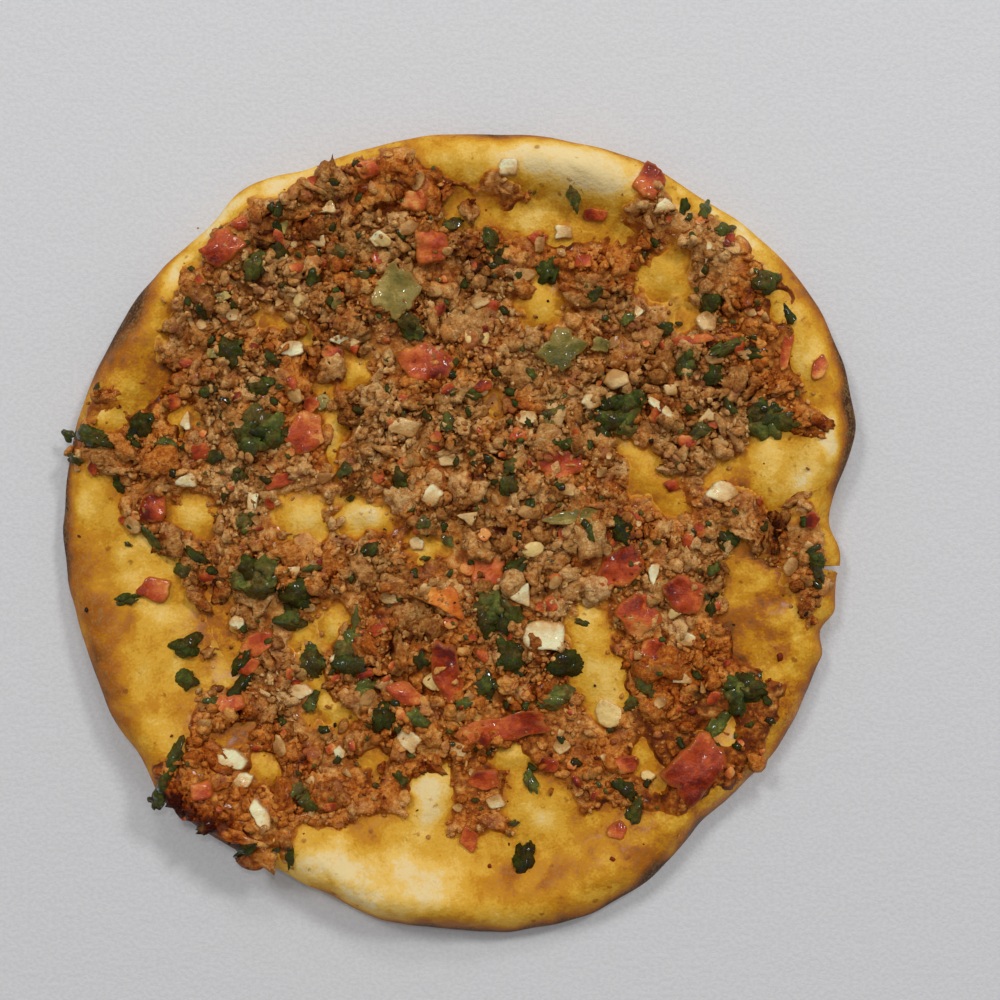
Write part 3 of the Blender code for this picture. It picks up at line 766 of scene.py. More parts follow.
# %% Deal out crumbs
def round_mesh(divisions):
    """The points and faces of a ball with evenly spread triangles."""
    bm = bmesh.new()
    bmesh.ops.create_icosphere(bm, subdivisions=divisions, radius=1)
    points = np.array([v.co[:] for v in bm.verts])
    faces = np.array([[v.index for v in f.verts] for f in bm.faces])
    bm.free()
    return points, faces


def any_turns(count, seed):
    """Turns spread evenly over all directions, as matrices, from random unit quaternions."""
    u, v, w = (scattered(np.arange(count), seed=seed + k) for k in range(3))
    a, b = np.sqrt(1 - u), np.sqrt(u)
    q = np.stack([a * np.sin(2 * np.pi * v), a * np.cos(2 * np.pi * v), b * np.sin(2 * np.pi * w),
                  b * np.cos(2 * np.pi * w)])
    x, y, z, s = q
    rows = [1 - 2 * (y * y + z * z), 2 * (x * y - z * s), 2 * (x * z + y * s),
            2 * (x * y + z * s), 1 - 2 * (x * x + z * z), 2 * (y * z - x * s),
            2 * (x * z - y * s), 2 * (y * z + x * s), 1 - 2 * (x * x + y * y)]
    return np.stack(rows, axis=-1).reshape(count, 3, 3)


DEALT_HALF = 78


def dealt(spacing, seed, chance):
    """Places on a shaken grid, kept where a random number is under the chance there, and a second random
    number for each."""
    side = int(2 * DEALT_HALF / spacing)
    i, j = (k.ravel() for k in np.meshgrid(np.arange(side), np.arange(side), indexing="ij"))
    x = (i + scattered(i, j, seed=seed)) * spacing - DEALT_HALF
    y = (j + scattered(i, j, seed=seed + 1)) * spacing - DEALT_HALF
    keep = scattered(i, j, seed=seed + 2) < read(chance, x, y)
    return x[keep], y[keep], scattered(i, j, seed=seed + 3)[keep]


def raise_to(x, y, z):
    """Raises the map's cells under these points to at least their height."""
    i, j = ((x + HALF) / CELL).astype(int), ((y + HALF) / CELL).astype(int)
    np.maximum.at(heap, (i.ravel(), j.ravel()), z.ravel())


def raise_heap(x, y, z, radius):
    """Raises the map under round lumps: each cell is at least as high as the dome over it."""
    reach = int(radius.max() / CELL)
    i0, j0 = ((x + HALF) / CELL).astype(int), ((y + HALF) / CELL).astype(int)
    for di in range(-reach, reach + 1):
        for dj in range(-reach, reach + 1):
            drop = radius**2 - (di * CELL) ** 2 - (dj * CELL) ** 2
            inside = drop > 0
            np.maximum.at(heap, (i0[inside] + di, j0[inside] + dj), z[inside] + 0.8 * np.sqrt(drop[inside]))


def knobbly(ball, number, seed, knob, depth):
    """The ball's points, each moved along its radius: broad dents, knobs where noise is far from 0, and a
    torn edge."""
    shift = number[:, None] * 13.7
    x, y, z = (np.broadcast_to(ball[:, k], (len(number), len(ball))) for k in range(3))
    broad = uneven(x + shift, y, z, size=1.1, seed=seed)
    knobs = np.abs(uneven(x, y + shift, z, size=knob, seed=seed + 1))
    torn = uneven(x, y, z + shift, size=0.3, seed=seed + 2)
    return np.clip(0.88 + 0.50 * broad + depth * (knobs - 0.25) + 0.30 * torn, 0.4, 1.8)[..., None] * ball


def add_crumbs(name, divisions, x, y, size, sink, finish, seed, tint, flat=0.8, knob=0.6, depth=0.45):
    """Crumbs of these sizes at these places: balls made knobbly, stretched, turned and set on the map."""
    ball, faces = round_mesh(divisions)
    count = len(x)
    number = np.arange(count)
    stretch = np.stack([0.4 + 1.2 * scattered(number, seed=seed + k) for k in range(3)], axis=-1)
    local = knobbly(ball, number, seed, knob, depth) * 0.5 * size[:, None, None] * stretch[:, None]
    body = np.einsum("nij,nvj->nvi", any_turns(count, seed), local)
    body[..., 2] *= flat
    z = read(heap, x, y) + (0.5 - sink) * size * flat
    body = (body + np.stack([x, y, z], axis=-1)[:, None, :]).reshape(-1, 3)
    raise_heap(x, y, z, 0.42 * size)
    fields = mince_fields(*body.T, np.repeat(tint, len(ball)))
    own = np.repeat(scattered(number, seed=seed + 5) - 0.5, len(ball))
    fields["warm"] = np.clip(fields["warm"] + 0.5 * own, 0, 1)
    fields["thin"] = np.clip(own - 0.25, 0, 1)
    print(f"{name}: {count} crumbs")
    return add_piece(name, body, [repeated(faces, count, len(ball))], finish, "mince", **fields)


# %% Make the clumps and the coarse crumbs
# Large clumps that show: x, y and size across.
CLUMPS = np.array([
    (-22, 46, 6), (-17, 42.5, 6), (-20, 38.5, 5), (-36.5, 45, 4.5), (-39, 43, 4), (-14.5, 26, 7.5),
    (-32, 28.5, 5), (-29.5, 27, 4), (33, 33, 8), (37, 31, 6), (35.5, 36, 5.5), (30, 35, 5), (-46, 32, 5),
    (-48, 27.5, 4.5), (-56, 14, 6), (-57, 9, 5), (-52.5, 12.5, 4.5), (2, 6, 5), (25, 17, 5), (22, 20.5, 6),
    (-10, -16, 5), (-12, -22, 6.5), (-16, -25, 5.5), (-37, -10, 7), (-33.5, -8.5, 5), (-30, -3, 5),
    (-26, -8, 5), (-8, -9, 5), (38, -26, 6), (45.5, -30, 6), (-33, -37, 5), (-20, -40.5, 6), (-28, -43, 5),
    (50, 27, 5), (-17, 64, 6), (-24, 67, 5), (-27, 58, 5), (-14, 57, 5), (-36, 56, 5), (2, 62, 5),
    (-60, 5, 5), (8, 0, 5), (14, -2, 4), (20, -8, 5), (24, 6, 5), (4, 33, 5), (26, 30, 5), (-4, 46, 5),
    (4, 50, 6), (-8, 56, 5), (-40, -56, 6), (-46, -54, 5), (-37, -60, 4.5), (-52, -49, 5), (63, 6, 4.5),
    (60, -2, 4.5), (-50, 18, 4), (-42, 8, 4.5),
])
CLUMPY = 0.5 + 0.5 * uneven(MAP_X, MAP_Y, size=6, seed=40)
FIRM = COVER**2 * (1 - 0.85 * SMEAR) * smooth((MAP_LEFT - 1) / 3)
CRUMB = mince_finish("mince_crumb", 0.6)
SHADES = np.clip(0.5 + 0.6 * uneven(MAP_X, MAP_Y, size=5, seed=43), 0, 1)


def open_share(low, high):
    """1 on level ground and in creases, falling to 0 on what stands proud of the heap round it."""
    return 1 - smooth((heap - blurred(heap, 2.0) - low) / (high - low))


def crumb_tint(x, y, seed):
    """Half from the place, so that crumbs of a lump are alike, and half each crumb's own."""
    return 0.45 * read(SHADES, x, y) + 0.55 * scattered(np.arange(len(x)), seed=seed)


x, y, u = dealt(3.5, 141, FIRM * np.clip(0.3 + 0.6 * THICKNESS, 0, 1.0) * (0.6 + 0.5 * CLUMPY))
x, y, size = (np.concatenate([a, b]) for a, b in zip(CLUMPS.T, (x, y, 3.2 + 2.4 * u**2)))
add_crumbs("clumps", 3, x, y, size * 0.95, 0.46, CRUMB, 145, crumb_tint(x, y, 149), 0.62, 0.42, 0.6)
x, y, u = dealt(2.0, 41, FIRM * (0.10 + 0.60 * CLUMPY) * (0.3 + 0.7 * open_share(0.2, 0.9)))
add_crumbs("crumbs_coarse", 2, x, y, 1.6 + 1.7 * u**2, 0.40, CRUMB, 45, crumb_tint(x, y, 49))

# %% [markdown]
# ## Chopped pieces
# A chopped piece is a slab: a ball squared off by a power, with a polygon for its outline. The knife left
# its corners crisp, and the oven bent it over whatever lay under it, so every point takes its height from a
# blurred copy of the map. One function makes all of them. Only the corners, the thickness and the curl
# differ from kind to kind.


# %% The slab function
def add_slabs(name, rows, finish, slot, nodes, seed, rings=10, segments=22, square=0.36, sink=0.2, lumps=0.12,
              curl=0.0, ragged=0.04, drape=1.0, sides=(4, 5)):
    """Rows hold x, y, length, width, thickness, turn and tint. A point of the ball at angle p from its pole
    and turn t is at reach(t) * sin(p) ** square outwards and at cos(p) ** square upwards, so a small power
    gives a squarer edge. Reach is nine parts polygon to one part circle."""
    data = np.array([row[:7] for row in rows], float)
    count = len(data)
    number = np.arange(count)
    px, py, length, width, thick, turn, tint = data.T[:, :, None]
    p, t = ball_angles(rings, segments)
    corners = (sides[0] + np.floor(scattered(number, seed=seed) * (sides[1] - sides[0] + 0.999)))[:, None]
    start = np.pi / corners + 0.9 * (scattered(number, seed=seed + 1)[:, None] - 0.5)
    off = (t + start) % (2 * np.pi / corners) - np.pi / corners
    reach = 0.1 + 0.9 * np.minimum(np.cos(np.pi / corners) / np.cos(off), 0.93) * 1.12
    bulge = uneven(np.cos(t) * 1.3, np.sin(t) * 1.3, number[:, None] * 7.3, seed=seed + 2)
    fray = uneven(np.cos(t) * 5, np.sin(t) * 5, number[:, None] * 3.1, seed=seed + 3)
    reach = reach * (1 + 0.20 * bulge) * (1 + ragged * fray)
    out = np.sin(p) ** square * reach
    u, v = 0.5 * length * out * np.cos(t), 0.5 * width * out * np.sin(t)
    w = np.sign(np.cos(p)) * np.abs(np.cos(p)) ** square
    dx, dy = turned(u, v, turn)
    x, y = px + dx, py + dy
    soft = blurred(heap, drape)
    middle = read(soft, px, py)
    ground = middle + np.clip(read(soft, x, y) - middle, -0.8, 0.8) * 0.7
    lean_u, lean_v = (scattered(number, seed=seed + k)[:, None] - 0.5 for k in (5, 6))
    tilt = 0.12 * (u * lean_u + v * lean_v)
    own = number[:, None] * 5.1
    swell = uneven(x, y, own, size=1.7, seed=seed + 4) + 0.5 * uneven(x, y, own, size=0.8, seed=seed + 7)
    swell = lumps * swell * np.minimum(thick, 1.6)
    bend = curl * (out**2 - 0.3) * np.sqrt(length * width) * 0.25
    z = ground + thick * (0.5 * w + 0.5 - sink) + swell + bend + tilt
    top = w[0] > -0.05
    hidden = np.percentile(read(heap, x[:, top], y[:, top]) - z[:, top], 65, axis=1)
    z = z + np.clip(hidden, 0, 1.5)[:, None]
    raise_to(x[:, top], y[:, top], z[:, top])
    points = np.stack([x, y, z], axis=-1).reshape(-1, 3)
    tint = tint + 0.4 * out * np.cos(t + FULL_TURN * scattered(number, seed=seed + 8)[:, None])
    edge = np.broadcast_to(np.sin(p) ** square, x.shape)
    return add_piece(name, points, many_balls(count, rings, segments), finish, slot, nodes, tint=tint.ravel(),
                     edge=edge.ravel())


def node_box(node):
    """The two corners of a CAD node's box, in millimetres."""
    return (np.array(corner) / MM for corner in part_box(node))


def of_nodes(**kinds):
    """Rows for CAD nodes: the middle and size of each box, then thickness, turn and tint as given."""
    rows = []
    for node, (thick, turn, tint, stretch) in kinds.items():
        low, high = node_box(node)
        x, y = (low[:2] + high[:2]) / 2
        across = float(np.hypot(*(high - low)[:2])) * 0.5
        rows.append((x, y, across * 1.5 * stretch, across * 1.5 / stretch, thick, turn, tint))
    return rows, list(kinds)


# %% [markdown]
# ## Tomato, pepper and onion
# Roasted tomato is orange to deep red, soft and wet, with paler flesh inside a darker skin. Colour runs
# along the tint of each piece, with blotches. A clear coat gives the small bright glints of its juice.


# %% The finishes of tomato, pepper and onion
def wet_finish(name, colours, rim, coat, see_through=0.0, blotchy=1.0):
    """Colours from light to dark along the piece's tint, with blotches, a wet coat and a soft relief. Towards
    its rim the piece takes the colour of the juice round it."""
    f = Finish(name, Specular_IOR_Level=0.2, Coat_Roughness=0.06, Coat_IOR=1.4, Subsurface_Weight=see_through,
               Subsurface_Scale=0.0012)
    tint, edge = f.field("tint"), f.field("edge")
    clouds, mottle, fine = f.grain(3.52, 3, 0.6), f.grain(1.6, 4, 0.6), f.grain(0.4, 3)
    along = tint * 0.85 + ((clouds - 0.5) * 1.3 + (mottle - 0.5) * 0.8 + (fine - 0.5) * 0.2) * blotchy
    colour = f.ramp(along.held(), *colours)
    colour = f.blend(colour, rim, (edge + (mottle - 0.5) * 0.6).step(0.76, 1.06) * 0.85)
    rough = 0.34 + (mottle - 0.5) * 0.4
    relief = f.bump(mottle * 0.8 + fine * 0.25, 0.34)
    shine = (mottle.step(0.45, 0.60) * coat).held()
    return f.surface(Base_Color=colour, Roughness=rough.held(), Coat_Weight=shine, Normal=relief)


JUICE = tone(168, 92, 36)
TOMATO_TONES = tones((216, 146, 76), (198, 102, 48), (172, 70, 34), (138, 47, 22), (94, 27, 10))
GREEN_TONES = tones((176, 152, 86), (134, 116, 56), (98, 90, 38), (62, 62, 24))
YELLOW_TONES = tones((226, 150, 66), (208, 112, 40), (188, 84, 28), (140, 52, 18))
ONION_TONES = tones((240, 218, 174), (216, 180, 124), (184, 138, 80), (148, 98, 48))
TOMATO = wet_finish("tomato", TOMATO_TONES, JUICE, 0.8, 0.06)
GREEN_PEPPER = wet_finish("green_pepper", GREEN_TONES, tone(150, 110, 50), 1.0)
ORANGE_PEPPER = wet_finish("orange_pepper", YELLOW_TONES, JUICE, 0.5)
ONION = wet_finish("onion", ONION_TONES, tone(176, 118, 56), 0.5, 0.12, blotchy=0.8)

# %% Make the large pieces
rows, nodes = of_nodes(
    tomato_wedge=(2.6, 42, 0.95, 1.2), tomato_square=(2.0, 68, 0.55, 1.15),
    tomato_upper_left=(2.2, 24, 0.65, 1.2), tomato_top=(2.2, 66, 0.65, 1.1),
    tomato_flesh_top=(2.4, 10, 0.45, 1.0), tomato_long=(2.2, 100, 0.85, 1.5),
    tomato_dark=(2.0, 40, 0.8, 1.2), tomato_pink=(2.0, 110, 0.5, 1.05),
    tomato_mash=(1.8, -30, 0.75, 1.1), tomato_middle=(2.0, -6, 0.7, 1.25),
    tomato_centre=(2.0, -16, 0.65, 1.25), tomato_left=(2.0, 76, 0.8, 1.15),
    tomato_skin=(1.2, 72, 0.35, 1.2),
)
add_slabs("tomato_pieces", rows, TOMATO, "tomato", nodes, 50, rings=18, segments=40, square=0.5, sink=0.4,
          ragged=0.08, lumps=0.2)
rows, nodes = of_nodes(red_pepper_strip=(1.2, 11, 0.62, 1.8))
add_slabs("red_pepper", rows, TOMATO, "pepper_red", nodes, 60, 18, 40, ragged=0.14, curl=0.10)
rows, nodes = of_nodes(orange_pepper=(1.0, -18, 0.3, 1.35))
add_slabs("orange_pepper_piece", rows, ORANGE_PEPPER, "pepper_red", nodes, 62, 18, 40, sides=(3, 3), sink=0.0)
rows, nodes = of_nodes(green_pepper_large=(1.8, 62, 0.35, 1.1), green_pepper_small=(1.8, 40, 0.8, 1.1))
rows += [(22, 3, 15, 4.2, 1.4, 4, 0.45), (27, 35.5, 4, 3, 1.2, 0, 0.4), (-26, 25, 4, 3, 1.2, 30, 0.3),
         (-46, 34, 3.4, 2.4, 1, 10, 0.3), (-23, 44, 4, 2.6, 1, 60, 0.4), (11, 47, 3.4, 2.2, 1, 0, 0.4),
         (-44, 44.5, 3, 2.2, 1, 30, 0.2), (-33, 57.5, 3, 3, 1, 0, 0.3), (17, 21, 4, 1.6, 0.8, -30, 0.5)]
add_slabs("green_pepper_pieces", rows, GREEN_PEPPER, "pepper_green", nodes, 64, 16, 32, sides=(3, 4),
          ragged=0.16, curl=0.2, lumps=0.25)

# %% [markdown]
# The middle-sized crumbs come next, so that they lean against the large pieces. Few lie on top of them.


# %% Make the middle-sized crumbs
chance = COVER**2 * (1 - 0.85 * SMEAR) * (0.20 + 0.70 * CLUMPY) * (0.10 + 0.90 * open_share(0.1, 0.7))
x, y, u = dealt(1.5, 81, chance)
add_crumbs("crumbs_middle", 2, x, y, 0.9 + 1.3 * u, 0.38, CRUMB, 85, crumb_tint(x, y, 89))

# %% [markdown]
# The smaller pieces of tomato and onion are listed by place and size: x, y, length, width, turn and tint.
# Between them lie still smaller ones that nobody could list, so those are dealt out like crumbs.

# %% Make the small chopped pieces
SMALL_TOMATO = (
    (-40.5, 58, 3.4, 3, 0, 0.5), (-17, 68, 4.8, 4, 20, 0.35), (-8, 62.5, 6.4, 4.2, 10, 0.35),
    (-24, 34, 4, 3.2, 0, 0.6), (-28, 24.5, 3.4, 3, 0, 0.6), (-48.5, 15.5, 4.4, 3.6, 20, 0.65),
    (-62.5, 2.5, 3.6, 2.6, 0, 0.8), (-68, 12.5, 3.4, 2.6, 60, 0.85), (-53.5, 25, 4, 2.8, 80, 0.4),
    (-34, 10, 7.4, 3, 20, 0.7), (23.5, 51.5, 3.6, 3, 0, 0.75), (11.5, 18.5, 4, 3, 0, 0.5),
    (44, 36.5, 9, 2.2, 10, 0.55), (61.5, 34, 8, 2.2, 80, 0.45), (67.5, 31, 5, 3, 70, 0.3),
    (40.5, 9, 3.2, 2.6, 0, 0.9), (66, 2.5, 4, 3, 30, 0.95), (18, -13, 6, 4, 20, 0.5),
    (37, -22, 6, 4, 30, 0.65), (17, -44, 5, 3.6, -10, 0.8), (5, -47, 6, 4, 10, 0.5),
    (2, -58, 5, 4, 80, 0.45), (30, -56, 4, 3, 20, 0.5), (-10, -30.5, 8, 4, -20, 0.55),
    (-40, -25, 5, 4, 0, 0.6), (-38, -21, 7, 4.5, 30, 0.4), (-8, 33, 5, 4, 0, 0.95),
    (-57.6, -10.5, 6.6, 5, 4, 0.45), (15, 56, 4, 3, 0, 0.7), (52, 36, 4, 3, 0, 0.5),
    (33, 3, 3, 2.4, 0, 0.9), (-43, -32, 6, 4, 0, 0.4), (-15, -18, 4, 3, 30, 0.6), (-44, 41, 3, 2.4, 0, 0.5),
    (26, 60, 5, 2.4, -10, 0.8), (48, 30, 3, 3, 0, 0.4), (-47, -47, 5, 4, 10, 0.5), (32, -44, 5, 4, 0, 0.5),
    (4, 38, 4, 3, 0, 0.7), (35, -13, 5, 4, 0, 0.4),
)
SMALL_ONION = (
    (-15, 55.5, 3.6, 2.6, 20, 0.0), (-26, 55, 3.6, 3, 0, 0.5), (-24, 61, 4, 3, 30, 0.5),
    (-31.5, 35, 4.6, 3.4, 20, 0.1), (-21.5, 36.5, 6.6, 2.2, -10, 0.2), (-51, 10, 5, 3.8, 20, 0.1),
    (-39, 6, 4.2, 2.4, 80, 0.2), (-10, 20, 6, 4, 0, 0.6), (9.5, 68.5, 4.2, 3.8, 0, 0.1),
    (38.5, 61, 4.6, 3, 20, 0.1), (30, 29, 5, 4, 0, 0.5), (38.5, 23.5, 6.6, 1.8, -38, 0.2),
    (40, 27, 3, 2.8, 0, 0.5), (34, 42, 3.6, 2.4, 80, 0.3), (47, 53, 5, 1.4, 80, 0.3),
    (50, 8, 6, 4, 10, 0.35), (37, -7.5, 5.6, 3, 80, 0.1), (42, -27.5, 5, 2.4, -10, 0.4),
    (-42, -42, 6, 3.4, -20, 0.1), (-36.5, -52, 6, 3, -60, 0.15), (-22.5, -41.5, 2.6, 2.4, 0, 0.0),
    (-9.5, -39, 5.4, 4, -40, 0.2), (-40, -46, 4, 3, 0, 0.4), (12, -11.8, 5.5, 5.2, 20, 0.3),
    (-8, -2, 3, 2.6, 0, 0.3), (13, 22, 4, 3, 0, 0.5), (4, 44, 4, 3, 20, 0.6), (-2, 14, 4, 3, 0, 0.5),
    (20, 57, 4, 3, 0, 0.6), (-34, 52, 4, 3, 20, 0.6), (-5, 7, 5, 3.6, 30, 0.4), (2, 3, 4.4, 3, 0, 0.45),
    (-30, -30, 4, 3, 0, 0.4), (25, 25, 4, 3, 0, 0.6), (47, 22, 4, 3, 30, 0.5), (-13, -12, 4, 3, 0, 0.5),
    (43, -20, 4, 3, 0, 0.5), (0, -41, 4, 3, 0, 0.5), (-51.5, 21, 2.6, 4.4, 0, 0.3), (12, 49, 5, 3, 0, 0.7),
    (47, 40, 4, 4, 0, 0.6), (-23, -24, 3, 2.6, 0, 0.2), (-42, -17, 3, 3, 0, 0.3), (7, -51, 4, 3, 0, 0.6),
    (-31, -7, 3, 2.4, 0, 0.4), (11, 14, 5, 1.8, 40, 0.5),
)


def thick_rows(rows, share):
    """Rows with a thickness that is a share of the piece's width."""
    return [(x, y, a, b, share * b, turn, tint) for x, y, a, b, turn, tint in rows]


def dealt_rows(spacing, seed, chance, smallest, largest, share):
    """Rows for small pieces of random place, size, turn and tint."""
    x, y, u = dealt(spacing, seed, chance)
    v, w = scattered(np.arange(len(x)), seed=seed + 7), scattered(np.arange(len(x)), seed=seed + 8)
    across = smallest + (largest - smallest) * u**1.6
    return list(zip(x, y, across * (1 + 0.5 * v), across * (1 - 0.25 * v), share * across, 360 * w, v))


add_slabs("tomato_pieces_small", thick_rows(SMALL_TOMATO, 0.42), TOMATO, "tomato", [], 70, 12, 24, drape=0.8,
          square=0.45, sink=0.4, ragged=0.08, lumps=0.2)
rows = dealt_rows(6.4, 161, COVER**2 * 0.62, 1.2, 3.0, 0.45)
print("small tomato bits:", len(rows))
add_slabs("tomato_bits", rows, TOMATO, "tomato", [], 165, 6, 12, drape=0.6, sink=0.4, ragged=0.10, lumps=0.2)
rows, nodes = of_nodes(onion_slab=(2.0, 4, 0.05, 1.15))
add_slabs("onion_pieces", rows + thick_rows(SMALL_ONION, 0.50), ONION, "onion", nodes, 75, 12, 24, drape=0.8,
          sides=(3, 5), sink=0.4, ragged=0.06)
rows = dealt_rows(6.6, 171, COVER**2 * 0.60, 1.3, 3.4, 0.45)
print("small onion bits:", len(rows))
rows = [(*row[:6], 0.7 + 0.4 * row[6]) for row in rows]
add_slabs("onion_bits", rows, ONION, "onion", [], 175, 6, 12, drape=0.6, sink=0.45, lumps=0.2, ragged=0.10,
          sides=(3, 5))

# %% [markdown]
# ## The fine crumbs
# The fine crumbs come after the chopped pieces, so some lie on them and against them, as they do on real
# food.

# %% Make the fine crumbs
chance = 0.80 * COVER**1.5 * (1 - 0.72 * SMEAR) * (0.24 + 0.76 * open_share(0.0, 0.5)) + 0.05 * NEAR_MINCE
x, y, u = dealt(1.05, 91, chance)
add_crumbs("crumbs_fine", 1, x, y, 0.40 + 0.85 * u**1.5, 0.30, CRUMB, 95, crumb_tint(x, y, 99))

# %% [markdown]
# ## Parsley
# Chopped parsley shrivels in the oven to small, dark, crinkled leaves, wet with fat. A leaf is a very thin
# ball with toothed lobes round its outline and folds across it. It lies on top of everything, so it is made
# nearly last.


# %% The parsley's finish and leaves
def parsley_finish():
    f = Finish("parsley", Specular_IOR_Level=0.06, Coat_Roughness=0.10)
    tint = f.field("tint")
    mottle, fine = f.grain(1.4, 4, 0.6), f.grain(0.45, 3)
    shade = (tint * 0.6 + (mottle - 0.5) * 1.3 + (fine - 0.5) * 0.5 + 0.2).held()
    green = f.ramp(shade, *tones((126, 126, 62), (86, 91, 43), (58, 63, 30), (32, 34, 14)))
    brown = f.ramp(shade, *tones((136, 112, 60), (92, 78, 40), (62, 54, 27), (34, 28, 11)))
    colour = f.blend(green, brown, f.grain(3, 3).step(0.43, 0.58))
    return f.surface(Base_Color=colour, Roughness=(0.42 + (fine - 0.5) * 0.5).held(),
                     Coat_Weight=mottle.step(0.52, 0.60), Normal=f.bump(fine * 0.3 + mottle * 0.8, 0.5))


def add_flakes(name, rows, finish, nodes, seed, rings=8, segments=26):
    """Rows hold x, y, length, width, turn and tint. The outline has lobes with teeth on them, the height is
    the map's plus a dome and folds that grow towards the edge, and the leaf is about 0.3 mm thick."""
    data = np.array(rows, float)
    count = len(data)
    number = np.arange(count)
    px, py, length, width, turn, tint = data.T[:, :, None]
    p, t = ball_angles(rings, segments)
    lobes = 3 + np.floor(3 * scattered(number, seed=seed))[:, None]
    phase = FULL_TURN * scattered(number, seed=seed + 1)[:, None]
    lobe = np.abs(np.cos(0.5 * lobes * t + phase)) ** 0.8
    teeth = 0.08 * np.abs(np.cos(5.5 * t + 2 * phase))
    uneven_rim = 1 + 0.30 * uneven(np.cos(t) * 2, np.sin(t) * 2, number[:, None] * 5.7, seed=seed)
    reach = (0.58 + 0.40 * lobe + teeth) * uneven_rim
    out = np.sin(p) * reach
    dx, dy = turned(0.5 * length * out * np.cos(t), 0.5 * width * out * np.sin(t), turn)
    x, y = px + dx, py + dy
    across = np.sqrt(length * width)
    folds = uneven(x, y, number[:, None] * 3.3, size=2.1, seed=seed + 2) * 1.7
    folds = (folds + 0.7 * uneven(x, y, number[:, None] * 3.3, size=0.9, seed=seed + 3)) * (0.3 + 0.6 * out)
    folds = folds + 0.28 * across * (0.6 - out**2)
    soft = blurred(heap, 1.0)
    ground = 0.5 * read(soft, px, py) + 0.5 * read(soft, x, y)
    z = ground + 0.45 + 0.14 * np.cos(p) + folds * np.minimum(1.2, across / 4)
    z = np.maximum(z, read(heap, x, y) + 0.05 + 0.07 * np.cos(p)) * 0.7 + z * 0.3
    raise_to(x, y, z)
    points = np.stack([x, y, z], axis=-1).reshape(-1, 3)
    return add_piece(name, points, many_balls(count, rings, segments), finish, "parsley", nodes,
                     tint=np.broadcast_to(tint, x.shape).ravel())


GOLDEN_TURN = 2.4


def bunch(x, y, across, count, seed):
    """Several leaves that overlap within a round patch. Each lies a golden turn on from the last, and
    farther out."""
    k = np.arange(count)
    angle, away = GOLDEN_TURN * k + FULL_TURN * scattered(seed), 0.34 * across * np.sqrt(k / count)
    return [(x + r * np.cos(a), y + r * np.sin(a), across * (0.6 + 0.2 * s), across * 0.5, 360 * s, s)
            for a, r, s in zip(angle, away, scattered(k, seed=seed))]


# %% Make the parsley
PARSLEY = (
    (-33.5, 60.5, 3, 2), (-38, 50.5, 5, 4), (-33.5, 53, 3, 3), (-22.5, 53, 3, 3), (-27.5, 48.5, 3, 3),
    (-18, 49, 3, 2), (-48, 41.5, 3, 2), (-43.5, 34, 5.5, 5), (-38, 28, 5, 4), (-60, 20.5, 5, 4),
    (-68, 18, 6, 4), (-74, 18.5, 2.6, 2.4), (-72, 14, 3, 2), (-55, 17, 4, 2.6), (-46, 14.5, 3, 2.6),
    (-41.5, 11, 3, 3), (-64, 9, 3, 2), (-40, 2, 4, 3), (-11, 10, 4, 3), (-9, 39, 5, 4), (-2, 21, 3, 3),
    (-21.5, 12, 3, 2.6), (-58, -1, 5, 2), (-6.5, 2, 2.6, 2.4), (22, 63, 4, 2), (42.5, 61.5, 3, 2),
    (46.5, 61, 3.6, 2.6), (50, 57, 3.6, 2.6), (57.5, 47, 5, 4.6), (48, 43.5, 4, 4), (62, 41, 3, 2.4),
    (51, 35, 7, 2.4), (55, 33.5, 5, 2.2), (43, 32, 4, 4), (48, 30, 4, 3), (51, 24, 3, 2), (27.5, 19, 3, 3),
    (39, 38.5, 3, 3), (32, 40.5, 3, 2), (26, 45, 3, 2), (17, 50, 4.6, 4), (6, 55.5, 5, 3), (8, 52, 4, 2.4),
    (-1, 59, 4, 2), (18, 23, 4, 2), (20, 17, 4, 2.4), (10, 13, 3, 2.4), (9.5, 9, 4, 3.6), (46, 20, 4, 3),
    (-52.5, -7, 3, 3), (-50, -4, 5, 2), (-62.5, -12, 4, 1.6), (-51.5, -21, 5, 4), (-51.5, -27.5, 4, 4),
    (-46, -31.5, 3, 2), (-41.5, -24.5, 5, 2.6), (-41.5, -29, 5, 2.6), (-31, -12, 6, 5), (-32, -17, 5, 4),
    (-28, -24.5, 6, 5), (-20.5, -21, 5, 5), (-20.5, -25, 6, 4.6), (-17.5, -29, 4, 3), (-15, -34.5, 5, 4.6),
    (-7.5, -35, 4, 3.6), (-28, -32, 4, 2.6), (-7, -24, 3, 3), (-28, -50.5, 4, 3), (-30, -48, 3, 3),
    (-56.5, -50, 3, 3), (-39, -58, 5, 2), (-31, -60, 3.6, 1.6), (-11, -46.5, 3, 2), (-17, -3, 4, 2.6),
    (-2, -1.5, 2.2, 2), (-27.5, -6.5, 3, 2), (9.5, -23, 6, 5.4), (20.5, -24.5, 6, 5), (19, -30.5, 6, 4),
    (5, -28.5, 5, 4), (11, -6, 4, 2.6), (31, 0.5, 4.4, 4), (25, 0, 3, 2), (35.5, -28.5, 5, 3.6),
    (33, -32.5, 3.4, 3), (49.5, -36, 5, 3), (31.5, -48.5, 5, 3), (33.5, -52, 5, 3), (14, -47, 4, 2),
    (12, -61.5, 5.5, 3.6), (67, -6, 6, 3), (66.5, -3, 3, 2), (51, -1.5, 4, 3.6), (48, -7, 3, 2),
    (48, -14, 3, 2), (23.5, -17, 2.6, 1.4), (1, -32, 3, 2.4), (-35, 33, 3, 2), (-47, 27, 3, 2),
    (3, 26, 3, 2), (14, 30, 2.6, 2),
)
luck = scattered(np.arange(len(PARSLEY)), seed=101)
tints = scattered(np.arange(len(PARSLEY)), seed=102)
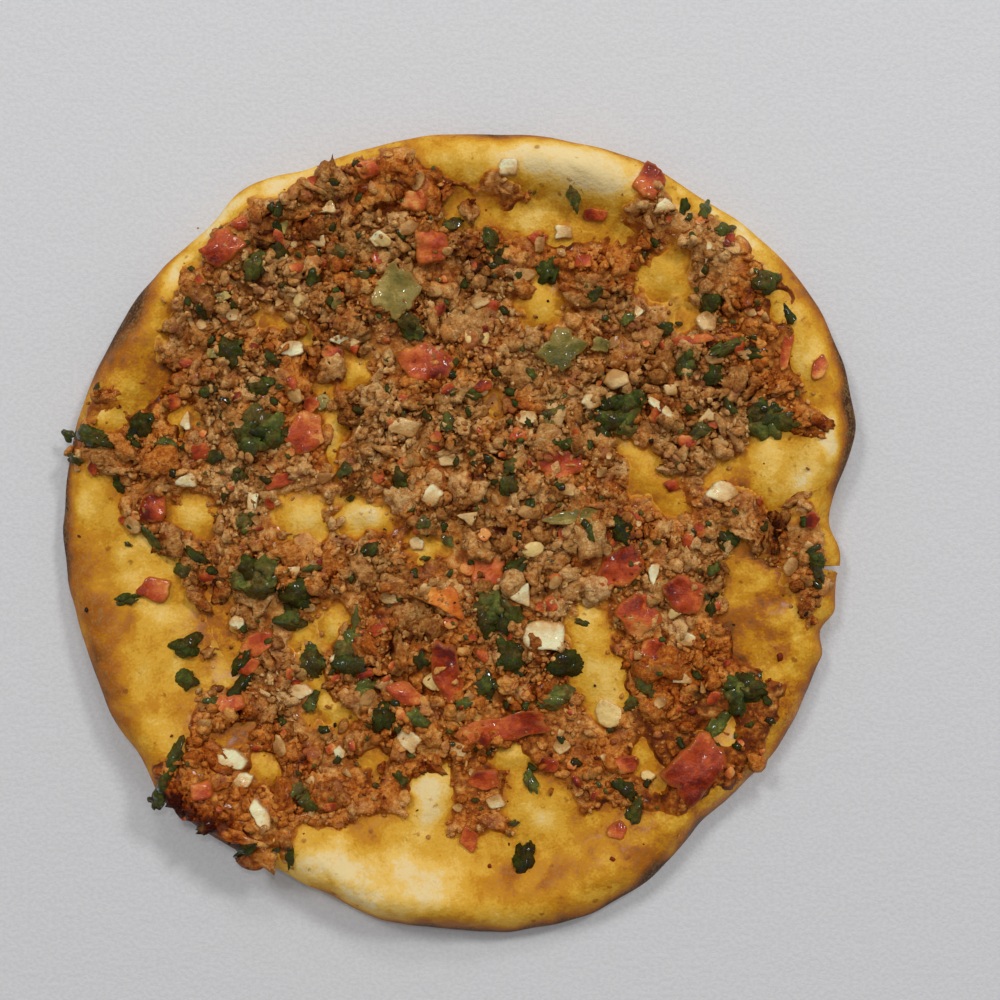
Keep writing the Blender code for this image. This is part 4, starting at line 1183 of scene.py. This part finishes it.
rows = [(x, y, a * 1.3, b, 360 * s, 0.2 + 0.8 * t) for (x, y, a, b), s, t in zip(PARSLEY, luck, tints)]
rows += [(x + 0.4 * a * (s - 0.5), y + 0.4 * a * (t - 0.5), a, b, 360 * t, s)
         for (x, y, a, b), s, t in zip(PARSLEY, tints, luck) if a > 3.9]
rows += [(-52.2, -41, 8, 3.0, 70, 0.6), (-53.4, -44.5, 8.4, 3.0, 68, 0.7), (-54.8, -48.0, 8, 2.8, 66, 0.6),
         (-19.6, -16.5, 5, 1.6, 85, 0.2), (10.5, -55, 2, 1.5, 0, 0.5)]
BUNCHES = ["parsley_right", "parsley_left", "parsley_lower_left", "parsley_centre", "parsley_leaf",
           "parsley_upper_right"]
for seed, node in enumerate(BUNCHES):
    low, high = node_box(node)
    rows += bunch(*((low + high) / 2)[:2], float((high - low)[:2].mean()) * 1.15, 7, 110 + seed)
print("parsley leaves:", len(rows))
PARSLEY_FINISH = parsley_finish()
add_flakes("parsley_leaves", rows, PARSLEY_FINISH, BUNCHES, 130)
x, y, u = dealt(4.4, 121, COVER * 0.42)
rows = [(a, b, 0.8 + 2.0 * s, 0.6 + 1.2 * s, 360 * s, 0.2 + 0.8 * s) for a, b, s in zip(x, y, u)]
print("parsley specks:", len(rows))
add_flakes("parsley_specks", rows, PARSLEY_FINISH, [], 135, 4, 10)

# %% [markdown]
# ## Seeds and specks
# A pepper seed is a flat disc with a thick rim and a small beak. Tomato seeds are little drops. Black and
# red specks are the spice.


# %% Make the seeds and the specks
def seed_finish():
    f = Finish("seed", Specular_IOR_Level=0.4, Coat_Roughness=0.2, Coat_Weight=0.3)
    fine = f.grain(0.8, 3)
    share = (fine + f.field("edge") * 0.4 - 0.3).step(0.3, 0.8)
    colour = f.blend(tone(224, 192, 122), tone(196, 152, 84), share)
    return f.surface(Base_Color=colour, Roughness=0.4 + (fine - 0.5) * 0.3, Normal=f.bump(fine, 0.2))


def speck_finish():
    f = Finish("speck", Specular_IOR_Level=0.3)
    fine = f.grain(0.4, 2)
    share = (f.field("tint") + (fine - 0.5) * 0.3).step(0.55, 0.75)
    colour = f.blend(tone(40, 26, 18), tone(128, 44, 22), share)
    return f.surface(Base_Color=colour, Roughness=0.55 + (fine - 0.5) * 0.3, Normal=f.bump(fine, 0.2))


SEEDS = [
    (28.5, -34.5, 4.6, 5.3, 0.9, 20, 0.2), (14, -3, 4, 2.6, 0.9, 10, 0.3), (2.5, 37.5, 4, 2.4, 0.9, 80, 0.2),
    (5, 37, 2.5, 1.5, 0.7, 80, 0.2), (-4.5, -28, 4, 3.6, 0.8, 0, 0.4), (41, -15, 3, 2, 0.8, 30, 0.3),
    (-14, 55, 3, 2, 0.8, 0, 0.3), (36, -46, 2.6, 1.8, 0.7, 0, 0.3), (-30, 44, 2.6, 1.8, 0.7, 50, 0.3),
]
add_slabs("seeds", SEEDS, seed_finish(), "onion", [], 140, 12, 28, square=0.7, sink=0.1, lumps=0.04,
          sides=(9, 12))
NAMED_SPECKS = np.array([(44, -34, 1.9), (26, -42.5, 1), (26.5, -52.5, 1.1), (29, -61, 1), (6, -63, 0.9),
                         (60.5, -23, 2.2), (65, -15, 1), (4, -53.5, 1), (17, 44, 0.8), (3, 63, 1)])
x, y, u = dealt(7.0, 151, 0.15 + 0.3 * NEAR_MINCE * (MAP_LEFT > 3) - 0.3 * (MAP_LEFT < 3))
size = np.concatenate([NAMED_SPECKS[:, 2], 0.35 + 0.5 * u])
x, y = np.concatenate([NAMED_SPECKS[:, 0], x]), np.concatenate([NAMED_SPECKS[:, 1], y])
add_crumbs("spice_specks", 1, x, y, size, 0.3, speck_finish(), 155, scattered(np.arange(len(x)), seed=156))

# %% [markdown]
# ## Table, light and camera
# The bread lies on plain white paper. Ceiling lamps above and behind it throw soft shadows towards the
# lower left and the right, and leave small glints on what is wet. The camera looks straight down.


# %% Make the table
def paper_finish():
    f = Finish("paper", Specular_IOR_Level=0.3)
    fibres = f.grain(0.8, 4, 0.6)
    colour = f.blend(tone(212, 212, 214), tone(207, 207, 209), fibres.step(0.4, 0.6))
    relief = f.bump(fibres + f.grain(6, 3), 0.15)
    return f.surface(Base_Color=colour, Roughness=0.75 + (fibres - 0.5) * 0.1, Normal=relief)


def add_floor():
    """A wide square sheet just under the bread."""
    mesh = bpy.data.meshes.new("floor")
    side = 1.5
    corners = [(-side, -side, 0), (side, -side, 0), (side, side, 0), (-side, side, 0)]
    mesh.from_pydata(corners, [], [(0, 1, 2, 3)])
    mesh.materials.append(paper_finish())
    floor = bpy.data.objects.new("floor", mesh)
    bpy.context.scene.collection.objects.link(floor)


add_floor()


# %% Light it
def add_lamp(name, place, size, power):
    """A square lamp aimed at the bread."""
    lamp = bpy.data.lights.new(name, "AREA")
    lamp.shape, lamp.size, lamp.energy = "SQUARE", size, power
    obj = bpy.data.objects.new(name, lamp)
    obj.location = place
    direction = -obj.location
    obj.rotation_euler = direction.to_track_quat("-Z", "Y").to_euler()
    bpy.context.scene.collection.objects.link(obj)


world = bpy.data.worlds.new("room")
world.use_nodes = True
world.node_tree.nodes["Background"].inputs["Color"].default_value = (1, 1, 1, 1)
world.node_tree.nodes["Background"].inputs["Strength"].default_value = 0.25
bpy.context.scene.world = world
add_lamp("lamp_right", (0.75, 0.80, 1.10), 0.22, 6.0)
add_lamp("lamp_left", (-0.65, 0.75, 1.15), 0.30, 5.0)
add_lamp("lamp_top", (0.10, 1.10, 0.95), 0.22, 2.5)
add_lamp("lamp_spot", (0.18, 0.42, 1.35), 0.05, 1.2)

# %% Aim the camera
VIEW_ANGLE, ACROSS, LOOK_AT = 40.0, 0.190, (0.0079, 0.0063)
camera = bpy.data.cameras.new("camera")
camera.angle = np.radians(VIEW_ANGLE)
camera.clip_start = 0.01
viewer = bpy.data.objects.new("camera", camera)
viewer.location = (*LOOK_AT, ACROSS / 2 / np.tan(np.radians(VIEW_ANGLE / 2)) + 0.004)
bpy.context.scene.collection.objects.link(viewer)
bpy.context.scene.camera = viewer
bpy.context.scene.view_settings.view_transform = "Standard"
print("camera height:", round(viewer.location.z, 3))
